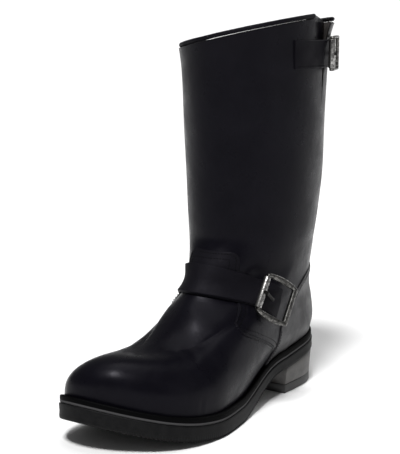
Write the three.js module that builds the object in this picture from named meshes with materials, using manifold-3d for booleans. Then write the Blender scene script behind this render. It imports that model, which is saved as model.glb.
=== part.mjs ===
// Left motorcycle boot with an instep strap and a buckled collar strap.
// Millimetres. X runs from the heel to the toe, Y to the outer side of the foot, Z up.
import * as THREE from 'three';
import { mergeVertices } from 'three/addons/utils/BufferGeometryUtils.js';
import Module from 'manifold-3d';

const wasm = await Module();
wasm.setup();

const degrees = THREE.MathUtils.degToRad;

// Overall form
const soleLength = 300;
const ballWidth = 113;
const bootHeight = 345;
const instepHeight = 124;
const shaftDepth = 155;
const shaftWidth = 117;
const collarTilt = 14;
const collarLow = 4.7;
const collarFlare = 6;
const upperWall = 2.4;
const seatGap = 0.3;

// Sole and heel
const heelHeight = 35;
const breastHeight = 24.4;
const heelLength = 74;
const seatThickness = 10;
const soleThickness = 14;
const sideChamfer = 1.2;
const toeSpring = 25;
const treadStart = 165;
const treadFlat = 25;
const liftThickness = 8.3;
const heelTaper = 2.4;
const randHeight = 7;
const randInset = 0.8;
const randThickness = 4.2;
const insoleThickness = 4;

// Overlays, straps and their seats
const counterThickness = 1.6;
const tabThickness = 1.3;
const strapThickness = 2.2;
const strapWidth = 27;
const collarStrapWidth = 25;
const collarStrapDrop = 19;
const beadRadius = 2;
const gussetThickness = 1.4;
const gussetTail = 8;
const gussetRise = 3;
const slitDepth = 78;

// Buckles
const buckleLength = 37;
const collarBuckleLength = 31;
const buckleOverhang = 7.2;
const collarBuckleOverhang = 3;
const windowMargin = 1.3;
const collarWindowMargin = 0.6;
const buckleTilt = degrees(33.5);
const buckleNormal = new THREE.Vector3(0.29, 0.935, 0.2);
const collarBucklePlace = degrees(126);
const collarBuckleFace = degrees(111);
const strapTilt = degrees(2.3);
const strapLevel = degrees(105);
const buckleAlong = 0.396;
const buckleUp = 0.815;
const strapTuck = 3;
const barThickness = 3;
const barWidth = 5;
const axleWidth = 2.8;
const rollerRadius = 3.1;
const rollerBore = 2.3;
const prongThickness = 2.2;
const prongWidth = 3.6;

const loopSteps = 48;
const leatherColour = 0x17171a;

// Smooth curve through the values of one column of a table
function column(rows, name) {
  const curve = rows.map((row) => row[name]);
  return (t) => {
    const position = THREE.MathUtils.clamp(t, 0, 1) * (curve.length - 1);
    const i = Math.min(Math.floor(position), curve.length - 2);
    const w = position - i;
    const p1 = curve[i];
    const p2 = curve[i + 1];
    const p0 = i > 0 ? curve[i - 1] : 2 * p1 - p2;
    const p3 = i + 2 < curve.length ? curve[i + 2] : 2 * p2 - p1;
    const m1 = (p2 - p0) / 2;
    const m2 = (p3 - p1) / 2;
    const w2 = w * w;
    const w3 = w2 * w;
    return (2 * w3 - 3 * w2 + 1) * p1 + (w3 - 2 * w2 + w) * m1 + (3 * w2 - 2 * w3) * p2 + (w3 - w2) * m2;
  };
}

// The same for a column whose rows stand at uneven places
function columnAt(rows, place, name) {
  const value = column(rows, name);
  return (x) => {
    if (x <= rows[0][place]) return rows[0][name];
    const last = rows.length - 1;
    if (x >= rows[last][place]) return rows[last][name];
    let i = 0;
    while (x > rows[i + 1][place]) i += 1;
    const w = (x - rows[i][place]) / (rows[i + 1][place] - rows[i][place]);
    return value((i + w) / last);
  };
}

const smooth = THREE.MathUtils.smoothstep;
const mix = THREE.MathUtils.lerp;

// Footprint: each row is a cross-section, along as a share of the sole's length,
// centre and half as shares of half the ball width
const footprint = [
  { along: 0, centre: 0, half: 0.67 },
  { along: 0.15, centre: 0.01, half: 0.67 },
  { along: 0.25, centre: 0.03, half: 0.655 },
  { along: 0.35, centre: 0.06, half: 0.64 },
  { along: 0.46, centre: 0.085, half: 0.71 },
  { along: 0.57, centre: 0.06, half: 0.865 },
  { along: 0.67, centre: 0.02, half: 0.98 },
  { along: 0.755, centre: -0.05, half: 1.01 },
  { along: 0.84, centre: -0.145, half: 1.035 },
  { along: 0.91, centre: -0.27, half: 1.06 },
  { along: 1, centre: -0.46, half: 1.06 },
];
const printCentre = columnAt(footprint, 'along', 'centre');
const printHalf = columnAt(footprint, 'along', 'half');

// Rounded ends of the footprint: along as a share of the sole's length where the rounding starts,
// power as its roundness
const printEnds = {
  heel: { along: 0.15, power: 2.25 },
  toe: { along: 0.73, power: 2 },
};

// 1 over most of the length, falling to 0 at both ends
function roundedEnds(s) {
  const { heel, toe } = printEnds;
  const nearHeel = Math.max(0, (heel.along - s) / heel.along);
  const nearToe = Math.max(0, (s - toe.along) / (1 - toe.along));
  const heelShare = Math.pow(Math.max(0, 1 - Math.pow(nearHeel, heel.power)), 1 / heel.power);
  return heelShare * Math.pow(Math.max(0, 1 - Math.pow(nearToe, toe.power)), 1 / toe.power);
}

// Loop parameter u: 0 at the heel's back, 0.25 on the outer side, 0.5 at the toe
const alongAt = (u) => (1 - Math.cos(2 * Math.PI * u)) / 2;
const sideOf = (u) => (u < 0.5 ? 1 : -1);

function outlinePoint(u) {
  const s = alongAt(u);
  const half = printHalf(s) * roundedEnds(s);
  return new THREE.Vector2(s * soleLength, (ballWidth / 2) * (printCentre(s) + sideOf(u) * half));
}

function outlineInset(u, inset) {
  const step = 0.004;
  const before = outlinePoint((u - step + 1) % 1);
  const after = outlinePoint((u + step) % 1);
  const along = after.sub(before).normalize();
  const point = outlinePoint(u);
  return new THREE.Vector2(point.x + along.y * inset, point.y - along.x * inset);
}

// Underside of the outsole: heel seat, waist, flat tread and toe spring
function underside(x) {
  if (x < heelLength) return mix(heelHeight, breastHeight, x / heelLength);
  if (x < treadStart) return breastHeight * (1 - smooth(x, heelLength, treadStart));
  const rise = Math.max(0, x - treadStart - treadFlat) / (soleLength - treadStart - treadFlat);
  return toeSpring * rise * rise;
}

function soleTop(x) {
  return underside(x) + mix(seatThickness, soleThickness, smooth(x, heelLength, treadStart));
}

// Outer surface of the upper, one row for each ring from the feather edge to the collar.
// back, front: ends of the ring as shares of the sole's length
// rise: height over the outsole where the ring follows it, as a share of the instep height
// rear, fore: heights of the ring's ends, as shares of the instep height
// outer, inner: half widths as shares of half the ball width; middle: place of the widest point
// heel, toe: roundness of the two ends; print: how much the ring follows the footprint
// sway: how much it follows the footprint's curved middle line
// bulge: how far it swells past the feather edge, as a share of the upper's wall
// steps: mesh rows up to the next ring
const footRings = [
  { back: 0.017, front: 0.983, rise: 0, rear: 0.37, fore: 0.29, outer: 0.93, inner: 0.93, middle: 0.7,
    heel: 3, toe: 2, print: 1, sway: 1, bulge: 0, steps: 1 },
  { back: 0.014, front: 0.986, rise: randHeight / instepHeight, rear: 0.45, fore: 0.37, outer: 0.95,
    inner: 0.93, middle: 0.7, heel: 3, toe: 2, print: 1, sway: 0.9, bulge: 0.08, steps: 1 },
  { back: 0.006, front: 0.98, rise: 0.16, rear: 0.54, fore: 0.44, outer: 0.96, inner: 0.91, middle: 0.68,
    heel: 3, toe: 2.1, print: 0.6, sway: 0.8, bulge: 0.5, steps: 2 },
  { back: 0.004, front: 0.96, rise: 0.28, rear: 0.66, fore: 0.535, outer: 0.86, inner: 0.8, middle: 0.62,
    heel: 2.8, toe: 2, print: 0.25, sway: 0.75, bulge: 0, steps: 2 },
  { back: 0.01, front: 0.918, rise: 0.38, rear: 0.75, fore: 0.605, outer: 0.8, inner: 0.68, middle: 0.54,
    heel: 2.6, toe: 1.95, print: 0.06, sway: 0.75, bulge: 0, steps: 2 },
  { back: 0.015, front: 0.86, rise: 0.5, rear: 0.82, fore: 0.64, outer: 0.77, inner: 0.65, middle: 0.46,
    heel: 2.5, toe: 1.9, print: 0, sway: 0.8, bulge: 0, steps: 1 },
  { back: 0.018, front: 0.795, rise: 0.5, rear: 0.88, fore: 0.655, outer: 0.765, inner: 0.65, middle: 0.41,
    heel: 2.4, toe: 1.95, print: 0, sway: 0.7, bulge: 0, steps: 2 },
  { back: 0.017, front: 0.75, rise: 0.5, rear: 0.935, fore: 0.69, outer: 0.765, inner: 0.665, middle: 0.4,
    heel: 2.35, toe: 2.05, print: 0, sway: 0.5, bulge: 0, steps: 2 },
  { back: 0.016, front: 0.66, rise: 0.5, rear: 0.99, fore: 0.81, outer: 0.775, inner: 0.665, middle: 0.42,
    heel: 2.3, toe: 1.45, print: 0, sway: 0.25, bulge: 0, steps: 2 },
  { back: 0.014, front: 0.58, rise: 0.5, rear: 1.055, fore: 0.93, outer: 0.8, inner: 0.7, middle: 0.44,
    heel: 2.2, toe: 1.4, print: 0, sway: 0.08, bulge: 0, steps: 2 },
  { back: 0.012, front: 0.52, rise: 0.5, rear: 1.13, fore: 1.07, outer: 0.835, inner: 0.8, middle: 0.47,
    heel: 2.1, toe: 1.75, print: 0, sway: 0, bulge: 0, steps: 1 },
];

// Hollow of the vamp behind the toe box: along and reach as shares of the sole's length, depth as a
// share of the height over the sole
const vampHollow = { along: 0.733, reach: 0.23, depth: 0.178 };

// Shaft rings: up as a share of the height from the instep to the collar, depth and width as
// shares of the shaft's, centre as a share of the sole's length
const shaftRings = [
  { up: 0.13, centre: 0.244, depth: 0.9, width: 0.865 },
  { up: 0.21, centre: 0.24, depth: 0.91, width: 0.9 },
  { up: 0.37, centre: 0.235, depth: 0.94, width: 0.94 },
  { up: 0.58, centre: 0.235, depth: 0.965, width: 0.97 },
  { up: 0.78, centre: 0.236, depth: 0.99, width: 0.99 },
  { up: 0.92, centre: 0.239, depth: 1.01, width: 1 },
  { up: 1, centre: 0.243, depth: 1.035, width: 1.01 },
];
const halfBall = ballWidth / 2;
const shaftRise = bootHeight - instepHeight;
const rings = footRings.map((row) => ({
  ...row,
  back: row.back * soleLength,
  front: row.front * soleLength,
  rise: row.rise * instepHeight,
  rear: row.rear * instepHeight,
  fore: row.fore * instepHeight,
  outer: row.outer * halfBall,
  inner: row.inner * halfBall,
  bulge: row.bulge * upperWall,
  collar: 0,
})).concat(shaftRings.map((row) => ({
  back: row.centre * soleLength - (row.depth * shaftDepth) / 2,
  front: row.centre * soleLength + (row.depth * shaftDepth) / 2,
  rise: instepHeight / 2,
  rear: instepHeight + row.up * shaftRise,
  fore: instepHeight + row.up * shaftRise,
  outer: (row.width * shaftWidth) / 2,
  inner: (row.width * shaftWidth) / 2,
  middle: 0.5,
  heel: 2,
  toe: 2,
  print: 0,
  sway: 0,
  bulge: 0,
  steps: 1,
  collar: row.up,
})));
const shapeColumns = Object.keys(rings[0]).filter((name) => name !== 'steps');
const ring = Object.fromEntries(shapeColumns.map((name) => [name, column(rings, name)]));

// Angle round the shaft, 0 at the front, positive on the outer side
const angleAt = (u) => Math.PI * (1 - 2 * u);
const uAt = (angle) => (Math.PI - angle) / (2 * Math.PI);
const slitFront = degrees(95);
const slitBack = degrees(114);
const flareEnd = degrees(165);

// Place v of a height on the shaft, before the collar's slope
function shaftLevel(height) {
  const up = (height - instepHeight) / shaftRise;
  let i = 0;
  while (up > shaftRings[i + 1].up) i += 1;
  const w = (up - shaftRings[i].up) / (shaftRings[i + 1].up - shaftRings[i].up);
  return (footRings.length + i + w) / (rings.length - 1);
}

// How far the collar's edge stands above or below the mean boot height at one angle
function collarEdge(angle) {
  const slope = degrees(15);
  const behind = smooth(angle, slitFront, slitBack) * (1 - smooth(angle, slitBack, Math.PI) * 0.6);
  return collarTilt * (Math.sin(angle - slope) - 1) - collarLow * Math.max(0, behind);
}

// Point of the outer surface; flareSize is how far the collar flares behind its slit
function surfacePoint(u, v, flareSize = collarFlare) {
  const s = alongAt(u);
  const side = sideOf(u);
  const back = ring.back(v);
  const front = ring.front(v);
  const middle = ring.middle(v);
  const print = THREE.MathUtils.clamp(ring.print(v), 0, 1);
  const x = mix(back, front, s);
  const toward = s < middle ? (middle - s) / middle : (s - middle) / (1 - middle);
  const power = s < middle ? ring.heel(v) : ring.toe(v);
  const profile = Math.pow(Math.max(0, 1 - Math.pow(toward, power)), 1 / power);
  const oval = side * profile * (side > 0 ? ring.outer(v) : ring.inner(v));
  const flat = outlineInset(u, randInset + randThickness - ring.bulge(v));
  const place = mix(x, flat.x, print);
  const sway = ring.sway(v) * printCentre(x / soleLength) * halfBall;
  let y = mix(oval + sway, flat.y, print);
  let z = mix(mix(ring.rear(v), ring.fore(v), s), soleTop(place) + seatGap + ring.rise(v), print);
  const fromHollow = Math.abs(place / soleLength - vampHollow.along);
  const hollow = vampHollow.depth * (1 - smooth(fromHollow, 0, vampHollow.reach)) * (1 - print);
  z = mix(z, soleTop(place), hollow);
  const collar = THREE.MathUtils.clamp(ring.collar(v), 0, 1);
  const angle = angleAt(u);
  z += collar * collarEdge(angle);
  const spread = smooth(angle, slitFront, slitBack) * (1 - smooth(angle, slitBack, flareEnd));
  const flare = flareSize * spread * Math.pow(collar, 14);
  y += flare * Math.sin(angle);
  return new THREE.Vector3(place + flare * Math.cos(angle), y, z);
}

// Point of the upper's form moved outwards by offset
function formPoint(u, v, offset, flareSize = collarFlare) {
  const step = 0.003;
  const at = (a, b) => surfacePoint((a + 1) % 1, THREE.MathUtils.clamp(b, 0, 1), flareSize);
  const round = at(u + step, v).sub(at(u - step, v));
  const up = at(u, v + step).sub(at(u, v - step));
  const normal = up.cross(round).normalize();
  return at(u, v).addScaledVector(normal, offset);
}

const loop = Array.from({ length: loopSteps }, (_, i) => i / loopSteps);
const lastRing = rings.length - 1;
const levels = rings.flatMap((row, j) => (
  Array.from({ length: j < lastRing ? row.steps : 1 }, (_, k) => (j + k / row.steps) / lastRing)
));
const formRings = (offset) => levels.map((v) => loop.map((u) => formPoint(u, v, offset)));

// Builds one body from triangles between stacked rings of points
function geometryFrom(points, faces) {
  const geometry = new THREE.BufferGeometry();
  geometry.setAttribute('position', new THREE.Float32BufferAttribute(points.flatMap((p) => p.toArray()), 3));
  geometry.setIndex(faces.flat());
  return geometry;
}

function ringFaces(first, second, count) {
  const faces = [];
  for (let i = 0; i < count; i += 1) {
    const next = (i + 1) % count;
    faces.push([first + i, second + i, second + next], [first + i, second + next, first + next]);
  }
  return faces;
}

// Closes a ring with strips from the outer side to the inner side
function stripFaces(first, count, facingUp) {
  const faces = [];
  for (let i = 0; i < count / 2; i += 1) {
    const a = first + i;
    const b = first + i + 1;
    const c = first + ((count - i - 1) % count);
    const d = first + ((count - i) % count);
    if (a !== d && b !== d) faces.push([a, d, b]);
    if (b !== c && b !== d) faces.push([b, d, c]);
  }
  return facingUp ? faces : faces.map(([a, b, c]) => [a, c, b]);
}

function loft(stack) {
  const count = stack[0].length;
  const faces = [];
  for (let j = 0; j + 1 < stack.length; j += 1) {
    faces.push(...ringFaces(j * count, (j + 1) * count, count));
  }
  faces.push(...stripFaces(0, count, false), ...stripFaces((stack.length - 1) * count, count, true));
  return geometryFrom(stack.flat(), faces);
}

// A closed band: the stack of rings returns to its first ring
function band(stack) {
  const count = stack[0].length;
  const faces = [];
  for (let j = 0; j < stack.length; j += 1) {
    faces.push(...ringFaces(j * count, ((j + 1) % stack.length) * count, count));
  }
  return geometryFrom(stack.flat(), faces);
}

function toSolid(geometry) {
  const bare = geometry.clone();
  bare.deleteAttribute('normal');
  bare.deleteAttribute('uv');
  const merged = mergeVertices(bare, 1e-4);
  return new wasm.Manifold(new wasm.Mesh({
    numProp: 3,
    vertProperties: new Float32Array(merged.attributes.position.array),
    triVerts: new Uint32Array(merged.index.array),
  }));
}

function toGeometry(solid) {
  const mesh = solid.getMesh();
  const geometry = new THREE.BufferGeometry();
  const positions = new Float32Array((mesh.vertProperties.length / mesh.numProp) * 3);
  for (let i = 0; i < positions.length / 3; i += 1) {
    for (let axis = 0; axis < 3; axis += 1) {
      positions[3 * i + axis] = mesh.vertProperties[i * mesh.numProp + axis];
    }
  }
  geometry.setAttribute('position', new THREE.BufferAttribute(positions, 3));
  geometry.setIndex(Array.from(mesh.triVerts));
  return geometry;
}

const boot = new THREE.Group();

function addPart(name, geometry, colour, roughness, metalness = 0) {
  const material = new THREE.MeshStandardMaterial({ color: colour, roughness, metalness });
  const mesh = new THREE.Mesh(geometry, material);
  mesh.name = name;
  boot.add(mesh);
  return mesh;
}

const outlineRing = (inset, height) => loop.map((u) => {
  const point = outlineInset(u, inset);
  return new THREE.Vector3(point.x, point.y, height(point.x));
});

const rubber = 0x2b2b2d;
const heelStack = 0x55524f;
const nickel = 0x8d8c88;

// Outsole with chamfered edges
addPart('outsole', loft([
  outlineRing(sideChamfer, underside),
  outlineRing(0, (x) => underside(x) + sideChamfer),
  outlineRing(0, (x) => soleTop(x) - sideChamfer),
  outlineRing(sideChamfer, soleTop),
]), rubber, 0.75);

// Heel: the sole's outline behind the breast, tapering to the floor
const breastAt = Math.acos(1 - (2 * heelLength) / soleLength) / (2 * Math.PI);
const heelSteps = 11;
const heelLoop = Array.from({ length: 2 * heelSteps + 1 }, (_, i) => (
  i <= heelSteps ? (breastAt * i) / heelSteps : 1 - (breastAt * (2 * heelSteps + 1 - i)) / heelSteps
));
const heelRing = (inset, height) => heelLoop.map((u) => {
  const point = outlineInset(u, inset);
  return new THREE.Vector3(Math.min(point.x, heelLength - inset / 2), point.y, height(point.x));
});
addPart('heel_block', loft([
  heelRing(heelTaper, () => liftThickness + seatGap),
  heelRing(heelTaper / 2, (x) => (liftThickness + underside(x)) / 2),
  heelRing(randInset, (x) => underside(x) - seatGap),
]), heelStack, 0.7);
addPart('heel_top_lift', loft([
  heelRing(heelTaper + sideChamfer, () => 0),
  heelRing(heelTaper, () => sideChamfer),
  heelRing(heelTaper, () => liftThickness),
]), rubber, 0.8);

// Insole inside the upper's feather edge
const insoleInset = randInset + randThickness + upperWall + 2 * seatGap;
addPart('insole', loft([
  outlineRing(insoleInset, (x) => soleTop(x) + seatGap),
  outlineRing(insoleInset, (x) => soleTop(x) + seatGap + insoleThickness),
]), 0x3a3431, 0.8);

// Rand: the storm welt between the sole's edge and the upper
const randCrown = 1.4;
addPart('rand', band([
  outlineRing(randInset, (x) => soleTop(x) + seatGap),
  outlineRing(randInset, (x) => soleTop(x) + seatGap + randHeight - randCrown),
  outlineRing(randInset + randCrown, (x) => soleTop(x) + seatGap + randHeight),
  loop.map((u) => formPoint(u, levels[1], seatGap)),
  loop.map((u) => formPoint(u, levels[0], seatGap)),
]), 0x121214, 0.5);

// Closed body of the upper's outer form, moved outwards
const formSolid = (offset) => toSolid(loft(formRings(offset)));
const shell = (from, thickness) => formSolid(from + thickness).subtract(formSolid(from));

// Prism of a side-view outline, from the place inner across the boot to its outer side
function sidePrism(points, inner = -shaftWidth) {
  const shape = new THREE.Shape(points.map(([x, z]) => new THREE.Vector2(x, z)));
  const geometry = new THREE.ExtrudeGeometry(shape, { depth: shaftWidth - inner, bevelEnabled: false });
  geometry.rotateX(Math.PI / 2);
  geometry.translate(0, shaftWidth, 0);
  return toSolid(geometry);
}

// Wedge of the shaft between two angles and two heights, tilted as the collar strap is
const shaftCentre = shaftRings[4].centre * soleLength;
const levelLine = new THREE.Vector3(Math.cos(strapLevel), Math.sin(strapLevel), 0);
function sector(from, to, low, high) {
  const reach = shaftDepth;
  const stations = [from, (from + to) / 2, to];
  const shape = new THREE.Shape([new THREE.Vector2(shaftCentre, 0)].concat(stations.map((angle) => (
    new THREE.Vector2(shaftCentre + reach * Math.cos(angle), reach * Math.sin(angle))
  ))));
  const geometry = new THREE.ExtrudeGeometry(shape, { depth: high - low, bevelEnabled: false });
  geometry.translate(-shaftCentre, 0, (low - high) / 2);
  geometry.applyMatrix4(new THREE.Matrix4().makeRotationAxis(levelLine, -strapTilt));
  geometry.translate(shaftCentre, 0, (low + high) / 2);
  return toSolid(geometry);
}

// Upper: outer and inner rings joined at the collar and round the feather edge, with the slit
// of the collar cut down its outer back
const slitMiddle = (slitFront + slitBack) / 2;
const slitTip = slitBack - degrees(3);
const slitNeck = bootHeight - collarStrapDrop - collarStrapWidth;
const slitOutline = [
  { angle: slitFront, height: bootHeight * 1.1 },
  { angle: slitFront, height: bootHeight - collarStrapDrop },
  { angle: slitTip - degrees(2), height: slitNeck },
  { angle: slitTip, height: bootHeight - slitDepth },
  { angle: slitBack - degrees(1), height: slitNeck },
  { angle: slitBack, height: bootHeight * 1.1 },
];
function slitCutter() {
  const perRadian = (shaftDepth / 2) * Math.sin(slitMiddle);
  const shape = new THREE.Shape(slitOutline.map((row) => (
    new THREE.Vector2((slitMiddle - row.angle) * perRadian, row.height)
  )));
  const geometry = new THREE.ExtrudeGeometry(shape, { depth: shaftDepth, bevelEnabled: false });
  geometry.rotateX(Math.PI / 2);
  geometry.translate(0, shaftDepth, 0);
  geometry.rotateZ(slitMiddle - Math.PI / 2);
  geometry.translate(shaftCentre, 0, 0);
  return toSolid(geometry);
}
const outerRings = formRings(0);
const innerRings = formRings(-upperWall);
const upperSolid = toSolid(band(outerRings.concat(innerRings.reverse()))).subtract(slitCutter());
addPart('upper', toGeometry(upperSolid), leatherColour, 0.4);

// Gusset behind the slit, wider than it by a lap on each side and without the collar's flare.
// across: share of the way from its front edge to its back edge; rise: how much its top stands
// over the collar's edge there, as a share of the full rise
const gussetLap = degrees(7);
const gussetLowest = shaftLevel(bootHeight - slitDepth - gussetTail);
const gussetTop = [
  { across: 1, rise: 0 },
  { across: 0.88, rise: 0.4 },
  { across: 0.76, rise: 1 },
  { across: 0.62, rise: 1 },
  { across: 0.49, rise: 1 },
  { across: 0.36, rise: 1 },
  { across: 0.27, rise: 0.9 },
  { across: 0.22, rise: 0 },
  { across: 0.11, rise: 0 },
  { across: 0, rise: 0 },
];
const eighths = [0, 0.125, 0.25, 0.375, 0.5, 0.625, 0.75, 0.875, 1];
const gussetSheet = (offset) => eighths.map((share) => gussetTop.map((row) => {
  const u = uAt(mix(slitFront - gussetLap, slitBack + gussetLap, row.across));
  const point = formPoint(u, mix(gussetLowest, 1, share), offset, 0);
  return share < 1 ? point : point.setZ(point.z + gussetRise * row.rise);
}));
const gussetFront = gussetSheet(-upperWall - seatGap);
const gussetBack = gussetSheet(-upperWall - seatGap - gussetThickness);
const gussetRings = gussetFront.map((row, i) => row.concat(gussetBack[i].reverse()));
addPart('slit_gusset', loft(gussetRings), 0x232326, 0.6);

// Counter round the heel, from the rand up to a slanted top edge: shares of the sole's length and
// of the instep height, from behind the heel forward and down to the rand
const counterEdge = [
  { along: -0.1, up: 0.94 },
  { along: 0.04, up: 0.93 },
  { along: 0.16, up: 0.865 },
  { along: 0.24, up: 0.765 },
  { along: 0.325, up: 0.56 },
  { along: 0.335, up: 0.4 },
  { along: 0.36, up: 0.29 },
];
const counterFoot = eighths.slice(1).map((share) => {
  const x = mix(counterEdge[counterEdge.length - 1].along, counterEdge[0].along, share) * soleLength;
  return [x, soleTop(Math.max(0, x)) + randHeight + 3 * seatGap];
});
const counterSolid = shell(seatGap, counterThickness).intersect(sidePrism(
  counterEdge.map((row) => [row.along * soleLength, row.up * instepHeight]).concat(counterFoot),
));
addPart('heel_counter', toGeometry(counterSolid), 0x1d1c1e, 0.42);

// Tab of the vamp, under the instep strap
const tabLow = instepHeight * 0.95;
const tabHigh = instepHeight * 1.165;
const tabHalf = 23;
const tabRound = 8;
const tabShift = 4;
const tabShape = new THREE.Shape();
tabShape.moveTo(-tabHalf, tabLow);
tabShape.lineTo(tabHalf, tabLow);
tabShape.lineTo(tabHalf, tabHigh - tabRound);
tabShape.quadraticCurveTo(tabHalf, tabHigh, tabHalf - tabRound, tabHigh);
tabShape.lineTo(tabRound - tabHalf, tabHigh);
tabShape.quadraticCurveTo(-tabHalf, tabHigh, -tabHalf, tabHigh - tabRound);
const tabPrism = new THREE.ExtrudeGeometry(tabShape, {
  depth: soleLength, bevelEnabled: false, curveSegments: 4,
});
tabPrism.rotateX(Math.PI / 2);
tabPrism.rotateZ(Math.PI / 2);
tabPrism.translate(shaftCentre, tabShift, 0);
const tabSolid = shell(seatGap, tabThickness).intersect(toSolid(tabPrism));
addPart('vamp_tab', toGeometry(tabSolid), leatherColour, 0.42);

// Instep strap: a band over the tab whose middle line falls towards the heel, shares of the
// sole's length and of the instep height
const strapLine = [
  { along: 0.262, up: 0.63 },
  { along: 0.322, up: 0.725 },
  { along: 0.44, up: 0.885 },
  { along: 0.5, up: 0.945 },
  { along: 0.57, up: 1 },
  { along: 0.75, up: 1.13 },
];
const strapSeat = seatGap + Math.max(tabThickness, counterThickness) + seatGap;
const strapPoints = strapLine.map((row) => new THREE.Vector2(row.along * soleLength, row.up * instepHeight));
const strapSide = (half) => strapPoints.map((point, i) => {
  const before = strapPoints[Math.max(0, i - 1)];
  const after = strapPoints[Math.min(strapPoints.length - 1, i + 1)];
  const run = after.clone().sub(before).normalize();
  return [point.x - run.y * half, point.y + run.x * half];
});
const strapBand = shell(strapSeat, strapThickness).intersect(sidePrism(
  strapSide(strapWidth / 2).concat(strapSide(-strapWidth / 2).reverse()),
));
const buckleTurn = new THREE.Vector2(Math.cos(buckleTilt), Math.sin(buckleTilt));
const buckleMiddle = new THREE.Vector2(buckleAlong * soleLength, buckleUp * instepHeight);
const buckleSpot = (a, b) => [
  buckleMiddle.x + a * buckleTurn.x - b * buckleTurn.y,
  buckleMiddle.y + a * buckleTurn.y + b * buckleTurn.x,
];
const strapEnd = strapTuck - buckleLength / 2;
const behindBuckle = sidePrism([
  buckleSpot(-2 * buckleLength, -strapWidth),
  buckleSpot(strapEnd, -strapWidth),
  buckleSpot(strapEnd, strapWidth),
  buckleSpot(-2 * buckleLength, strapWidth),
], 0);
addPart('instep_strap', toGeometry(strapBand.subtract(behindBuckle)), leatherColour, 0.42);

// Collar strap across the slit
const collarStrapTop = bootHeight - collarStrapDrop;
const collarStrapLow = collarStrapTop - collarStrapWidth;
const collarShell = shell(seatGap, strapThickness);
const collarTail = degrees(12);
addPart('collar_strap', toGeometry(collarShell.intersect(
  sector(degrees(71), collarBucklePlace + collarTail, collarStrapLow, collarStrapTop),
)), leatherColour, 0.42);
addPart('collar_strap_anchor', toGeometry(collarShell.intersect(
  sector(collarBucklePlace + collarTail + degrees(2), degrees(170), collarStrapLow, collarStrapTop),
)), leatherColour, 0.42);

// Rolled bead on the collar's edge, from one side of the slit round to the other
const beadMesh = { sides: 6, steps: 44 };
const beadStations = Array.from({ length: beadMesh.steps + 1 }, (_, i) => (
  mix(uAt(slitFront - degrees(1)), 1 + uAt(slitBack + degrees(1)), i / beadMesh.steps)
));
const beadRings = beadStations.map((station) => {
  const u = station % 1;
  const outside = formPoint(u, 1, 0);
  const inside = formPoint(u, 1, -upperWall);
  const centre = outside.clone().lerp(inside, 0.5);
  const out = outside.clone().sub(inside).setZ(0).normalize();
  centre.z = Math.max(outside.z, inside.z) + beadRadius + seatGap;
  return Array.from({ length: beadMesh.sides }, (_, k) => {
    const turn = (2 * Math.PI * (k + 0.5)) / beadMesh.sides;
    const reach = centre.clone().addScaledVector(out, beadRadius * Math.cos(turn));
    return reach.setZ(centre.z - beadRadius * Math.sin(turn));
  });
});
addPart('collar_bead', loft(beadRings), leatherColour, 0.35);

// Nearest place of the upper's form to a line, searched from a first guess of u and v
function placeOnLine(start, direction, offset, guess) {
  let best = { ...guess, distance: Infinity };
  let reachU = 0.05;
  let reachV = 0.08;
  const tries = [-1, -0.5, 0, 0.5, 1];
  for (let round = 0; round < 12; round += 1) {
    const from = best;
    tries.forEach((du) => tries.forEach((dv) => {
      const u = from.u + du * reachU;
      const v = THREE.MathUtils.clamp(from.v + dv * reachV, 0, 1);
      const away = formPoint((u + 1) % 1, v, offset).sub(start);
      const distance = away.addScaledVector(direction, -away.dot(direction)).length();
      if (distance < best.distance) best = { u, v, distance };
    }));
    reachU *= 0.6;
    reachV *= 0.6;
  }
  return best;
}

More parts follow.
